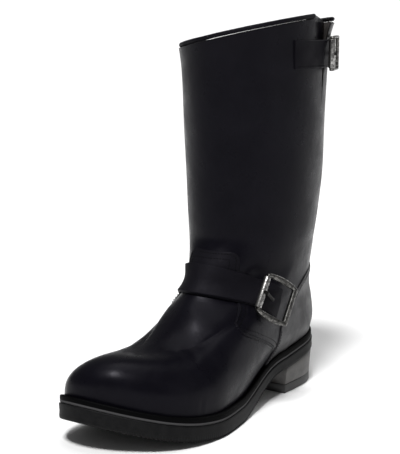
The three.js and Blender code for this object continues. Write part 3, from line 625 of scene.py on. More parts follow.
def speckled(name, dark, light, rough, shine, tone, grain_scale):
    """Rubber or stacked board: speckled tone and a fine grain. tone: scale, roughness, dark stop."""
    m, tree, shader = material(name, dark, rough, shine=shine)
    spots = noise(tree, tone[0], 6, tone[1])
    tree.links.new(colours(tree, spots, (tone[2], dark), (0.75, light)), shader.inputs["Base Color"])
    tree.links.new(bump(tree, noise(tree, grain_scale, 5, 0.6), 0.4, 0.0003), shader.inputs["Normal"])
    return m


black, black_tree, black_shader, black_normal = leather(
    "black_leather", (0.0022, 0.0020, 0.0035), (0.0042, 0.0039, 0.0061), 0.32, 0.03, 0.062)
counter_leather = leather(
    "counter_leather", (0.006, 0.0056, 0.006), (0.0125, 0.0116, 0.0116), 0.42, 0.08, 0.14)[0]
strap_leather = leather(
    "strap_leather", (0.0038, 0.0035, 0.0050), (0.0062, 0.0058, 0.0078), 0.56, 0.0, 0.06)[0]
lining_leather = leather("lining_leather", (0.018, 0.0165, 0.0155), (0.034, 0.031, 0.0285), 0.75)[0]
thread = material("thread", (0.0015, 0.0015, 0.0018), 0.8, shine=0.08)[0]
sole_rubber = speckled("sole_rubber", (0.002, 0.002, 0.0024), (0.0065, 0.0064, 0.0068), 0.6, 0.12,
                       (140, 0.65, 0.3), 700)
heel_stack = speckled("heel_stack", (0.028, 0.026, 0.025), (0.08, 0.075, 0.071), 0.55, 0.5,
                      (160, 0.7, 0.25), 600)
lift_rubber = material("lift_rubber", (0.019, 0.0185, 0.0185), 0.55)[0]
# The rand's colour is partly painted light and shade. Its band under the upper is the rubber's own black,
# deepened below the sole's and leather's black as painted shade of the channel there. Its lowest rings over
# the outsole are light grey, a painted highlight along the sole's top edge.
rand_rubber_painted_light, rand_tree, rand_shader = material("rand_rubber_painted_light", (0.0012, 0.0012, 0.0014), 0.6, shine=0.03)
rand_tree.links.new(colours(rand_tree, attribute(rand_tree, "highlight_ledge"), (0.2, (0.0012, 0.0012, 0.0014)),
                            (0.8, (0.06, 0.059, 0.061))), rand_shader.inputs["Base Color"])


def worn_metal(name, hollows, middle_tone, worn):
    """Aged metal whose raised spots are rubbed brighter and smoother."""
    m, tree, shader = material(name, middle_tone, 0.36, metal=1.0)
    spots = noise(tree, 420, 8, 0.72)
    tree.links.new(colours(tree, spots, (0.34, hollows), (0.52, middle_tone), (0.7, worn)),
                   shader.inputs["Base Color"])
    tree.links.new(to_range(tree, spots, 0.35, 0.65, 0.5, 0.24), shader.inputs["Roughness"])
    tree.links.new(bump(tree, spots, 0.35, 0.0003), shader.inputs["Normal"])
    return m


nickel = worn_metal("aged_nickel", (0.02, 0.0195, 0.019), (0.1, 0.098, 0.094), (0.33, 0.32, 0.305))
# The roller gets the frame's nickel painted about twice as light: a painted highlight on the roller, over
# the same worn spots.
roller_highlight_metal = worn_metal("roller_nickel_painted_highlight", (0.04, 0.039, 0.038), (0.26, 0.255, 0.25), (0.7, 0.69, 0.67))
dark_metal = material("blackened_metal", (0.014, 0.0135, 0.013), 0.6, metal=1.0)[0]

# Vamp seam: where the vamp's raised edge runs in the side view
VAMP_EDGE = smooth_line([
    (190, 128), (150, 126), (146, 112), (152.3, 100.1), (159.8, 93.2), (164.9, 86.6), (160.8, 79.3),
    (141, 69.9), (122, 61), (109, 54.3), (95, 46), (60, 40),
], 90)


def near_path(points, path):
    """Distance of points to a line in space, and how far along it they are, 0 to 1."""
    best = np.full(points.shape[:-1], 1e9)
    place = np.zeros(points.shape[:-1])
    for i in range(len(path) - 1):
        a, run = path[i], path[i + 1] - path[i]
        t = np.clip(((points - a) @ run) / max(float(run @ run), 1e-9), 0, 1)
        d = np.linalg.norm(points - a - t[..., None] * run, axis=-1)
        place = np.where(d < best, (i + t) / (len(path) - 1), place)
        best = np.minimum(best, d)
    return best, place


# Creases of the leather: side-view points (x, z), on which side, width and depth in millimetres
CREASES = [
    ([(212, 71), (224, 67), (236, 63)], True, 3.0, 0.35),
    ([(216, 74), (227, 69), (240, 66)], True, 3.2, 0.28),
    ([(225.6, 41), (226.3, 33), (226.5, 22)], True, 1.3, 0.5),
    ([(205, 76), (213, 71), (222, 64)], True, 3.4, 0.3),
    ([(214, 70), (224, 65), (234, 60)], False, 3.0, 0.4),
    ([(203, 74), (211, 69), (218, 62)], False, 3.4, 0.35),
]
# Soft fullness of the leather: side-view place, size across it, height
FULLNESS = [((187, 92), 14.0, 2.2), ((283, 66), 13.0, 0.8)]
FILL_PASSES = 22


def instep_fill(u, v, p):
    """Height that softens the fold between instep and vamp, from points averaged with those beside them."""
    x, z = p[..., 0], p[..., 2]
    share = ramp(x, 140, 165) * ramp(z, 58, 70) * (1 - ramp(z, 108, 122))
    soft = p.copy()
    for _ in range(FILL_PASSES):
        beside_it = (soft[:-2, 1:-1] + soft[2:, 1:-1] + soft[1:-1, :-2] + soft[1:-1, 2:]) / 4
        soft[1:-1, 1:-1] = mix(soft[1:-1, 1:-1], beside_it, share[1:-1, 1:-1, None])
    return ((soft - p) * normals(u, v)).sum(-1)


def relief(u, v):
    """Height of the leather over the plain form: soft folds, undulation and the vamp's raised edge."""
    p = surface(u, v)
    x, y, z = p[..., 0], p[..., 1], p[..., 2]
    inside_vamp = line_distance(x, z, VAMP_EDGE)
    height = 0.9 * ramp(inside_vamp, -0.9, 0.9)
    slow = (np.sin(x / 17 + y / 23 + 1) * np.sin(z / 21 + y / 31) + np.sin(x / 9.5 - z / 13 + 2) * 0.5
            + np.sin(y / 8.5 + z / 15) * np.sin(x / 12 + 0.5) * 0.4)
    height = height + 0.22 * slow * ramp(z, 40, 70) * (1 - ramp(z, 300, 335))
    height = height + instep_fill(u, v, p)
    for place, width, rise in FULLNESS:
        centre_u, centre_v = from_side([place], True)
        away = np.linalg.norm(p - surface(centre_u, centre_v)[0], axis=-1)
        height = height + rise * np.exp(-(away / width) ** 2)
    for points, outer, width, depth in CREASES:
        cu, cv = from_side(smooth_line(points, 14), outer)
        d, t = near_path(p, surface(cu, cv))
        ends = np.sqrt(np.clip(np.sin(np.pi * t), 0, 1))
        trough = np.exp(-(d / width) ** 2)
        ridge = np.exp(-((d - 2.2 * width) / width) ** 2)
        height = height + depth * ends * (0.35 * ridge - trough)
    return height, inside_vamp


# Upper: one skin with the collar's slit, and the lining behind it
SLIT_MIDDLE = (SLIT_FRONT + SLIT_BACK) / 2
SLIT_TIP = SLIT_BACK - math.radians(3)
SLIT_NECK = BOOT_HEIGHT - COLLAR_STRAP_DROP - COLLAR_STRAP_WIDTH
TIP_HEIGHT = BOOT_HEIGHT - SLIT_DEPTH
PER_RADIAN = SHAFT_DEPTH / 2 * math.sin(SLIT_MIDDLE)


def slit_across(p):
    turn = SLIT_MIDDLE - np.pi / 2
    return (p[..., 0] - SHAFT_CENTRE) * math.cos(turn) + p[..., 1] * math.sin(turn)


def slit_edge(v, heights, angles):
    """u of one edge of the slit on each row v."""
    candidates = np.linspace(0.13, 0.29, 161)
    p = surface(candidates[None, :], v[:, None])
    wanted = (SLIT_MIDDLE - np.interp(p[..., 2], heights, angles)) * PER_RADIAN
    miss = slit_across(p) - wanted
    return np.array([np.interp(0, row, candidates) for row in miss])


def skin_grid(columns, row_v):
    tip = (TIP_HEIGHT, SLIT_TIP)
    front = slit_edge(row_v, [TIP_HEIGHT, SLIT_NECK, BOOT_HEIGHT - COLLAR_STRAP_DROP, 400],
                      [tip[1], SLIT_TIP - math.radians(2), SLIT_FRONT, SLIT_FRONT])
    back = slit_edge(row_v, [TIP_HEIGHT, SLIT_NECK, BOOT_HEIGHT * 1.1],
                     [tip[1], SLIT_BACK - math.radians(1), SLIT_BACK])
    height = surface(0.19, row_v)[:, 2]
    tip_row = int(np.searchsorted(height, TIP_HEIGHT))
    start = front[tip_row]
    front[:tip_row + 1], back[:tip_row + 1] = start, start
    c = start + np.linspace(0, 1, columns + 1)[None, :]
    u = (c + (front - start)[:, None] * (1 - ramp(c - start, 0, 0.1))
         + (back - start)[:, None] * (1 - ramp(start + 1 - c, 0, 0.07)))
    return u, np.repeat(row_v[:, None], columns + 1, 1), tip_row


def skin_faces(rows, columns, tip_row):
    def at(i, j):
        return i * (columns + 1) + (0 if j == columns and i <= tip_row else j)

    return [(at(i, j), at(i + 1, j), at(i + 1, j + 1), at(i, j + 1))
            for i in range(rows - 1) for j in range(columns)]


def compact(points, faces):
    """Drops the points that no face uses; also returns which are kept."""
    used = np.unique(np.concatenate([np.asarray(f) for f in faces]))
    order = np.full(len(points), -1)
    order[used] = np.arange(len(used))
    return points[used], [tuple(order[list(f)]) for f in faces], used


def even_rows(count):
    v = np.linspace(0, 1, 600)
    steps = sum(np.linalg.norm(np.diff(surface(np.full(600, u), v), axis=0), axis=1)
                for u in (0.02, 0.25, 0.4, 0.5, 0.75))
    length = np.concatenate([[0], np.cumsum(steps)])
    return np.interp(np.linspace(0, length[-1], count), length, v)


SKIN_COLUMNS, SKIN_ROWS = ((360, 201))
row_v = even_rows(SKIN_ROWS)
skin_u, skin_v, tip_row = skin_grid(SKIN_COLUMNS, row_v)
skin_relief, skin_vamp = relief(skin_u, skin_v)
skin_points, skin_list, kept = compact(form(skin_u, skin_v, skin_relief).reshape(-1, 3),
                                       skin_faces(SKIN_ROWS, SKIN_COLUMNS, tip_row))
upper_skin = add_mesh("upper_skin", skin_points, skin_list, {"vamp_edge": skin_vamp.ravel()[kept]},
                      closed=False)
finish_piece(upper_skin, black, "black_leather", "upper")

seam = attribute(black_tree, "vamp_edge")
seam_line = to_range(black_tree, seam, -1.6, -0.1, 1, 0)
seam_after = to_range(black_tree, seam, -0.1, 0.6, 0, 1)
seam_sum = black_tree.nodes.new("ShaderNodeMath")
seam_sum.operation = "MAXIMUM"
black_tree.links.new(seam_line, seam_sum.inputs[0])
black_tree.links.new(seam_after, seam_sum.inputs[1])
black_tree.links.new(bump(black_tree, seam_sum.outputs[0], 0.9, 0.0009, black_normal),
                     black_shader.inputs["Normal"])

LINING_COLUMNS = 96
lining_u, lining_v, lining_tip = skin_grid(LINING_COLUMNS, row_v[::4])
lining_rows = len(lining_u)
wide = LINING_COLUMNS + 1
lining_points = np.concatenate([form(lining_u, lining_v, -WALL).reshape(-1, 3),
                                form(lining_u, lining_v, -0.05).reshape(-1, 3)])
outer = lining_rows * wide
lining_list = [f[::-1] for f in skin_faces(lining_rows, LINING_COLUMNS, lining_tip)]
for a in range((lining_rows - 1) * wide, lining_rows * wide - 1):
    lining_list.append((a, a + 1, a + 1 + outer, a + outer))
for i in range(lining_tip, lining_rows - 1):
    a, b = i * wide, (i + 1) * wide
    far_a, far_b = a + LINING_COLUMNS if i > lining_tip else a, b + LINING_COLUMNS
    lining_list.append((a, b, b + outer, a + outer))
    lining_list.append((far_b, far_a, far_a + outer, far_b + outer))
finish_piece(add_mesh("upper_lining", *compact(lining_points, lining_list)[:2], closed=False),
             lining_leather, "insole_leather")

# Sole, heel, rand and insole
TOOTH_PITCH = 2.5
TOOTH_DEPTH = 1.3
TOOTH_INSET = 0.8
TEETH_END = 292


def tooth(x):
    """Height of the notches in the outsole's lower edge."""
    place = (x / TOOTH_PITCH) % 1
    cut = np.interp(place, [0, 0.3, 0.45, 0.85, 1], [0, 0, 1, 1, 0])
    fade_in = ramp(x, HEEL_LENGTH + 4, HEEL_LENGTH + 10)
    return TOOTH_DEPTH * cut * fade_in * (1 - ramp(x, TEETH_END - 8, TEETH_END))


def sole_loop(step):
    """u of the outsole's loop, with a point every step millimetres along its notched edge."""
    notched = u_of_x(np.arange(HEEL_LENGTH + 2, TEETH_END, step))
    heel_end, toe_end = np.linspace(0, notched[0], 60)[:-1], np.linspace(notched[-1], 0.5, 40)[1:]
    one_side = np.concatenate([heel_end, notched, toe_end])
    return np.concatenate([one_side, 1 - one_side[-2:0:-1]])


def loft_rings(u, *rows):
    """Rings on the sole's outline; each row gives the inset and the height at each x."""
    rings = []
    for inset, height in rows:
        x, y = outline_inset(u, inset)
        rings.append(np.stack([x, y, height(x)], -1))
    return rings


sole_u = sole_loop(TOOTH_PITCH / 4)
notch = tooth(outline(sole_u)[0]) / TOOTH_DEPTH * TOOTH_INSET
finish_piece(loft("outsole_rubber", loft_rings(
    sole_u,
    (1.5, lambda x: underside(x) + tooth(x)),
    (0.5 + notch, lambda x: underside(x) + 0.3 + tooth(x)),
    (0.05 + notch, lambda x: underside(x) + 1 + tooth(x)),
    (0, lambda x: underside(x) + 2.6 + tooth(x) * 0.15),
    (0.25, lambda x: (underside(x) + sole_top(x)) / 2),
    (0, lambda x: sole_top(x) - 2),
    (0, lambda x: sole_top(x) - 0.9),
    (0.25, lambda x: sole_top(x) - 0.25),
    (0.9, sole_top),
)), sole_rubber, "sole_rubber", "outsole")

heel_side = np.linspace(0, float(u_of_x(HEEL_LENGTH)), 60)
heel_u = np.concatenate([heel_side, 1 - heel_side[:0:-1]])


def heel_ring(inset, height):
    """Ring of the heel with a straight breast. height: a number, or a function of x."""
    x, y = outline_inset(heel_u, inset)
    z = height(x) if callable(height) else np.full(x.shape, float(height))
    return np.stack([np.minimum(x, HEEL_LENGTH - inset / 2), y, z], -1)


def heel_at(share, inset):
    low = LIFT_THICKNESS + GAP
    return heel_ring(inset, lambda x: low + (underside(x) - GAP - low) * share)


finish_piece(loft("heel_block_stack", [
    heel_at(0, HEEL_TAPER + 0.4), heel_at(0.02, HEEL_TAPER), heel_at(0.35, HEEL_TAPER * 0.8),
    heel_at(0.7, 1.3), heel_at(0.97, RAND_INSET), heel_at(1, RAND_INSET + 0.4),
], capped=True), heel_stack, "heel_stack", "heel_block")
finish_piece(loft("heel_lift_rubber", [
    heel_ring(HEEL_TAPER + 1.2, 0), heel_ring(HEEL_TAPER + 0.35, 0.35), heel_ring(HEEL_TAPER, 1.2),
    heel_ring(HEEL_TAPER, LIFT_THICKNESS - 0.6), heel_ring(HEEL_TAPER + 0.4, LIFT_THICKNESS),
], capped=True), lift_rubber, "sole_rubber", "heel_top_lift")

loop_u = np.linspace(0, 1, 361)[:-1]


def over_sole(rise):
    """Height that follows the outsole's top, rise millimetres over the gap on it."""
    return lambda x: sole_top(x) + GAP + rise


rand_rings = loft_rings(
    loop_u,
    (RAND_INSET + 0.5, over_sole(0)),
    (RAND_INSET, over_sole(0.5)),
    (RAND_INSET, over_sole(1.9)),
    (RAND_INSET, over_sole(2.4)),
    (RAND_INSET, over_sole(RAND_HEIGHT - 1.6)),
    (RAND_INSET + 0.4, over_sole(RAND_HEIGHT - 0.5)),
    (RAND_INSET + 1.4, over_sole(RAND_HEIGHT)),
) + [form(loop_u, 1 / LAST_RING, GAP), form(loop_u, 0, GAP)]
# The rand's lowest rings, its ledge on the outsole, carry the painted highlight along the sole's top edge.
HIGHLIGHT_LEDGE_RINGS = 3
highlight_ledge = np.repeat(np.arange(len(rand_rings)) < HIGHLIGHT_LEDGE_RINGS, len(loop_u))
finish_piece(hoop("rand_band", rand_rings, {"highlight_ledge": highlight_ledge}), rand_rubber_painted_light, "sole_rubber", "rand")
insole_inset = RAND_INSET + RAND_THICKNESS + WALL + 2 * GAP
finish_piece(loft("insole_board", loft_rings(
    loop_u,
    (insole_inset, over_sole(0)),
    (insole_inset, over_sole(INSOLE_THICKNESS - 0.5)),
    (insole_inset + 0.5, over_sole(INSOLE_THICKNESS)),
)), lining_leather, "insole_leather", "insole")


def levels_where(u, height_over, low=0.0, high=1.0):
    """For each u the v at which height_over(p) turns positive."""
    levels = np.linspace(low, high, 300)
    value = height_over(surface(np.ravel(u)[:, None], levels[None, :]))
    after = np.clip(np.argmax(value > 0, axis=1), 1, len(levels) - 1)
    rows = np.arange(len(value))
    a, b = value[rows, after - 1], value[rows, after]
    share = np.clip(-a / np.where(np.abs(b - a) < 1e-9, 1e-9, b - a), 0, 1)
    return mix(levels[after - 1], levels[after], share).reshape(np.shape(u))


# Heel counter
COUNTER_EDGE = smooth_line([(-30, 116.6), (12, 115.3), (48, 107.3), (72, 94.9), (97.5, 69.4)], 60)
COUNTER_EDGE = np.concatenate([COUNTER_EDGE, [(112, 54.9), (140, 27)]])
FRONT_LINE = np.array([(97.5, 69.4), (100.5, 49.6), (104, 42), (107.5, sole_top(107.5) + RAND_HEIGHT + 0.9)])


def counter_grid(count_a, count_b):
    b = np.linspace(0, 1, count_b)
    front = smooth_line(FRONT_LINE[::-1], count_b)
    ends = [from_side(front, outer) for outer in (True, False)]
    a = np.linspace(1, -1, count_a)
    reach_out, reach_in = ends[0][0], 1 - ends[1][0]
    u = np.where(a[None, :] > 0, a[None, :] * reach_out[:, None], a[None, :] * reach_in[:, None])
    low = levels_where(u, lambda p: p[..., 2] - sole_top(p[..., 0]) - RAND_HEIGHT - 0.9, 0, 0.4)
    high = levels_where(u, lambda p: p[..., 2] - np.interp(p[..., 0], *COUNTER_EDGE.T), 0.05, 0.8)
    share = []
    for column, (_, edge_v) in ((0, ends[0]), (-1, ends[1])):
        share.append((edge_v - low[:, column]) / (high[:, column] - low[:, column]))
    s = np.where(a[None, :] > 0, mix(b[:, None], share[0][:, None], a[None, :] ** 2),
                 mix(b[:, None], share[1][:, None], a[None, :] ** 2))
    s[0], s[-1] = 0, 1
    return u % 1, low + (high - low) * s


counter_u, counter_v = counter_grid(141, 61)
finish_piece(patch("counter_panel", counter_u, counter_v, COUNTER_THICKNESS, rim=0.7), counter_leather,
             "black_leather", "heel_counter")
for inset in (2.2, 4.4):
    top_u, top_v = beside(counter_u[-1], counter_v[-1], -inset)
    shown = slice(2, -2)
    sew(top_u[shown], top_v[shown], GAP + COUNTER_THICKNESS)
for column, sign in ((0, 1), (-1, -1)):
    side_u, side_v = beside(counter_u[:, column], counter_v[:, column], -2.2 * sign)
    sew(side_u[1:-3], side_v[1:-3], GAP + COUNTER_THICKNESS)

# Tab of the vamp
TAB_LOW, TAB_HIGH = INSTEP_HEIGHT * 0.95, INSTEP_HEIGHT * 1.165
TAB_HALF, TAB_ROUND, TAB_SHIFT = 23, 8, 4
TAB_COLUMNS, TAB_ROWS, TAB_HIDDEN_ROWS = 41, 31, 10


def tab_points(inset):
    """Front-view points (y, z) of the tab, inset from its edge."""
    z = np.linspace(TAB_LOW, TAB_HIGH - inset, TAB_ROWS)
    over = np.clip((z - (TAB_HIGH - TAB_ROUND)) / (TAB_ROUND - inset), 0, 1)
    half = TAB_HALF - inset - (TAB_ROUND - inset) * (1 - np.sqrt(np.maximum(0, 1 - over ** 2)))
    y = TAB_SHIFT + np.linspace(-1, 1, TAB_COLUMNS)[None, :] * half[:, None]
    return np.stack([y, np.repeat(z[:, None], TAB_COLUMNS, 1)], -1)


def from_front(points):
    """Parameters of front-view points (y, z) at the front of the boot."""
    return locate(points, [1, 2], lambda u: (u > 0.3) & (u < 0.7))


tab_grid = [a.reshape(TAB_ROWS, TAB_COLUMNS) for a in from_front(tab_points(0).reshape(-1, 2))]
finish_piece(patch("tab_panel", *tab_grid, TAB_THICKNESS, rim=0.6), strap_leather, "black_leather",
             "vamp_tab")
for inset in (2.2, 6.2):
    edge = tab_points(inset)
    left, right = edge[TAB_HIDDEN_ROWS:, 0], edge[TAB_HIDDEN_ROWS:, -1]
    sew(*from_front(np.concatenate([left, edge[-1, 1:-1], right[::-1]])), GAP + TAB_THICKNESS)

# Instep strap
STRAP_LINE = smooth_line([
    (78.6, 78.1), (96.6, 89.9), (132, 109.7), (150, 117.2), (171, 124), (225, 140.1),
], 80)
STRAP_SEAT = GAP + max(TAB_THICKNESS, COUNTER_THICKNESS) + GAP
BUCKLE_TILT = math.radians(33.5)
BUCKLE_X, BUCKLE_Z = 0.396 * SOLE_LENGTH, 0.815 * INSTEP_HEIGHT
BUCKLE_LENGTH = 37.0
STRAP_END = 3 - BUCKLE_LENGTH / 2
STRAP_REACH = 24.0


def over_strap(p):
    """Signed height of points over the strap's middle line in the side view."""
    return -line_distance(p[..., 0], p[..., 2], STRAP_LINE)


def strap_end(points, outer, shares):
    """Parameters of the strap's end: points are its line in the side view."""
    fine = smooth_line(points, 80)
    height = -line_distance(fine[:, 0], fine[:, 1], STRAP_LINE)
    order = np.argsort(height)
    wanted = shares * STRAP_WIDTH / 2
    line = np.stack([np.interp(wanted, height[order], fine[order, k]) for k in range(2)], -1)
    return from_side(line, outer)


def strap_grid(count_along, count_across):
    shares = np.linspace(-1, 1, count_across)
    c, s = math.cos(BUCKLE_TILT), math.sin(BUCKLE_TILT)
    run = unit(STRAP_LINE[1] - STRAP_LINE[0])
    across = (-STRAP_REACH, 0, STRAP_REACH)
    outer_end = [(BUCKLE_X + STRAP_END * c - b * s, BUCKLE_Z + STRAP_END * s + b * c) for b in across]
    inner_end = [STRAP_LINE[0] + b * np.array([-run[1], run[0]]) for b in across]
    start, stop = strap_end(outer_end, True, shares)[0], strap_end(inner_end, False, shares)[0]
    t = np.linspace(0, 1, count_along)
    u = start[:, None] + (stop - start)[:, None] * t[None, :]
    v = np.stack([levels_where(row, lambda p, k=k: over_strap(p) - shares[k] * STRAP_WIDTH / 2, 0.12, 0.8)
                  for k, row in enumerate(u)])
    return u, v


finish_piece(patch("instep_strap_leather", *strap_grid(181, 31), STRAP_THICKNESS, gap=STRAP_SEAT, rim=0.8),
             strap_leather, "black_leather", "instep_strap")

# Collar strap, its anchor and the gusset
COLLAR_STRAP_TOP = BOOT_HEIGHT - COLLAR_STRAP_DROP
COLLAR_STRAP_LOW = COLLAR_STRAP_TOP - COLLAR_STRAP_WIDTH
STRAP_TILT = math.tan(math.radians(2.3))
STRAP_LEVEL = math.radians(105)
COLLAR_STRAP_START, COLLAR_BUCKLE_PLACE = 71, 126


def tilted(angles, heights):
    """Parameters of shaft points on lines that fall towards the back as the collar strap does."""
    angles, heights = np.broadcast_arrays(angles, heights)
    p = surface(u_at(angles), 0.93)
    behind = (SHAFT_CENTRE - p[..., 0]) * math.sin(STRAP_LEVEL) + p[..., 1] * math.cos(STRAP_LEVEL)
    return from_shaft(angles, heights - STRAP_TILT * behind)


def strap_on_shaft(name, start, stop, columns, node):
    """Band round the collar between two angles in degrees."""
    angles = np.radians(np.linspace(start, stop, columns))
    heights = np.linspace(COLLAR_STRAP_LOW, COLLAR_STRAP_TOP, 31)
    band = patch(name, *tilted(angles[None, :], heights[:, None]), STRAP_THICKNESS, rim=0.7)
    finish_piece(band, strap_leather, "black_leather", node)


strap_on_shaft("collar_strap_leather", COLLAR_STRAP_START, COLLAR_BUCKLE_PLACE + 12, 91, "collar_strap")
strap_on_shaft("collar_anchor_leather", COLLAR_BUCKLE_PLACE + 14, 170, 41, "collar_strap_anchor")
GUSSET_THICKNESS = 1.4
GUSSET_LAP = math.radians(7)
GUSSET_RISE = 3.0
GUSSET_RISE_START = 0.875
# across: share of the way from front to back; rise: share of the rise over the collar's edge
GUSSET_TOP = np.array([(0, 0), (0.22, 0), (0.27, 0.9), (0.36, 1), (0.76, 1), (0.88, 0.4), (1, 0)])
gusset_across = np.linspace(1, 0, 61)
gusset_up = np.concatenate([np.linspace(0, 0.97, 60), [0.99, 1]])
gusset_u = u_at(mix(SLIT_FRONT - GUSSET_LAP, SLIT_BACK + GUSSET_LAP, gusset_across))
gusset_v = mix(float(from_shaft(SLIT_MIDDLE, BOOT_HEIGHT - SLIT_DEPTH - 8)[1]), 1, gusset_up)


def gusset_sheet(offset):
    rows = form(gusset_u[None, :], gusset_v[:, None], offset, 0.0)
    rise = GUSSET_RISE * np.interp(gusset_across, GUSSET_TOP[:, 0], GUSSET_TOP[:, 1])
    risen = (gusset_up[:, None] - GUSSET_RISE_START) / (1 - GUSSET_RISE_START)
    rows[..., 2] += rise[None, :] * np.clip(risen, 0, 1)
    return rows


gusset_out, gusset_in = gusset_sheet(-WALL - GAP), gusset_sheet(-WALL - GAP - GUSSET_THICKNESS)
gusset_middle = (gusset_out[-1] + gusset_in[-1]) / 2
for sheet in (gusset_out, gusset_in):
    sheet[-1] = mix(sheet[-1], gusset_middle, 0.5)
finish_piece(slab("gusset_leather", gusset_out, gusset_in), black, "black_leather", "slit_gusset")
column_u, column_v = tilted(np.full(60, math.radians(COLLAR_STRAP_START - 2.6)),
                            np.linspace(COLLAR_STRAP_LOW - 0.5, COLLAR_STRAP_TOP - 2, 60))
sew(column_u, column_v, 0.1, pitch=4.4, length=3.0, radius=0.6)
low_u, low_v = tilted(np.radians(np.linspace(COLLAR_STRAP_START + 2, 107, 60)), COLLAR_STRAP_LOW + 2.2)
sew(low_u, low_v, GAP + STRAP_THICKNESS)

# Rolled bead on the collar's edge
# Ends of the bead: millimetres past its last point, share of its radius
BEAD_ENDS = ((0.9, 0.45), (0.6, 0.85))
bead_u = np.linspace(u_at(SLIT_FRONT - math.radians(1)), 1 + u_at(SLIT_BACK + math.radians(1)), 321)
bead_out, bead_in = form(bead_u, 1.0, 0.0), form(bead_u, 1.0, -WALL)
bead_middle = (bead_out + bead_in) / 2
bead_middle[:, 2] = np.maximum(bead_out[:, 2], bead_in[:, 2]) + BEAD_RADIUS + GAP
bead_middle = np.pad(bead_middle, ((2, 2), (0, 0)), mode="edge")
bead_side = np.pad(unit((bead_out - bead_in) * np.array([1, 1, 0])), ((2, 2), (0, 0)), mode="edge")
bead_run = unit(np.gradient(bead_middle, axis=0) + 1e-9)
bead_fat = np.full(len(bead_middle), BEAD_RADIUS)
for i, (reach, share) in enumerate(BEAD_ENDS):
    bead_middle[i] -= bead_run[2] * reach
    bead_middle[-1 - i] += bead_run[-3] * reach
    bead_fat[[i, -1 - i]] = BEAD_RADIUS * share
bead_c, bead_s = around_circle(14)
bead_round = bead_c[None, :, None] * bead_side[:, None] + bead_s[None, :, None] * np.array([0, 0, 1.0])
finish_piece(loft("collar_roll", bead_middle[:, None] + bead_fat[:, None, None] * bead_round, capped=True),
             strap_leather, "black_leather", "collar_bead")
HEM_DROP = 5.5
hem_u = np.linspace(bead_u[0] + 0.008, bead_u[-1] - 0.008, 500)
hem_levels = np.linspace(0.9, 1, 60)
hem_heights = surface(hem_u[:, None], hem_levels[None, :])[..., 2]
sew(hem_u, np.array([np.interp(row[-1] - HEM_DROP, row, hem_levels) for row in hem_heights]), 0.1)

# Double seam of the vamp
seam_edge = VAMP_EDGE[(VAMP_EDGE[:, 1] < 118) & (VAMP_EDGE[:, 0] > 96)]
for outer in (True, False):
    edge_u, edge_v = from_side(seam_edge, outer)
    for inset in (1.9, 5.9):
        line_u, line_v = beside(edge_u, edge_v, inset if outer else -inset)
        sew(line_u, line_v, 0.95)

# Buckles
AXLE_FROM_END = 1.4
FRAME_HALF_HEIGHT = 2.3
# Edge of a roller: radius, distance from its end
ROLLER_EDGE = ((2.3, 0), (2.7, 0), (3.0, 0.25), (3.1, 0.7))
TONGUE_ROWS = 30
TONGUE_WIDE, TONGUE_TALL = 1.45, 0.9


def buckle_axes(prefix, length):
    """Middle of the CAD buckle, and its directions along the strap, across it and outwards."""
    frame_p, roller_p = node_points(prefix + "_frame"), node_points(prefix + "_roller")
    out = np.linalg.svd(frame_p - frame_p.mean(0), full_matrices=False)[2][2]
    out *= np.sign(out @ (frame_p.mean(0) - np.array([SHAFT_CENTRE, 0, frame_p[:, 2].mean()])))
    axle = roller_p.mean(0)
    toward = axle - frame_p.mean(0)
    along = unit(toward - out * (toward @ out))
    return axle - along * (length / 2 - AXLE_FROM_END), along, np.cross(out, along), out


def frame_loop(front, back, corner, swell):
    """Loop straight across front and back, with its long sides bowed towards swell."""
    corners = np.array([(front, -corner), (front, corner), (back, corner), (back, -corner),
                        (front, -corner)])
    controls = np.array([(front, 0), (0, swell), (back, 0), (0, -swell)])
    sides = []
    for start, control, stop, count in zip(corners, controls, corners[1:], (24, 36, 24, 36)):
        t = np.linspace(0, 1, count, endpoint=False)[:, None]
        sides.append(start * (1 - t) ** 2 + 2 * control * t * (1 - t) + stop * t ** 2)
    return np.concatenate(sides)


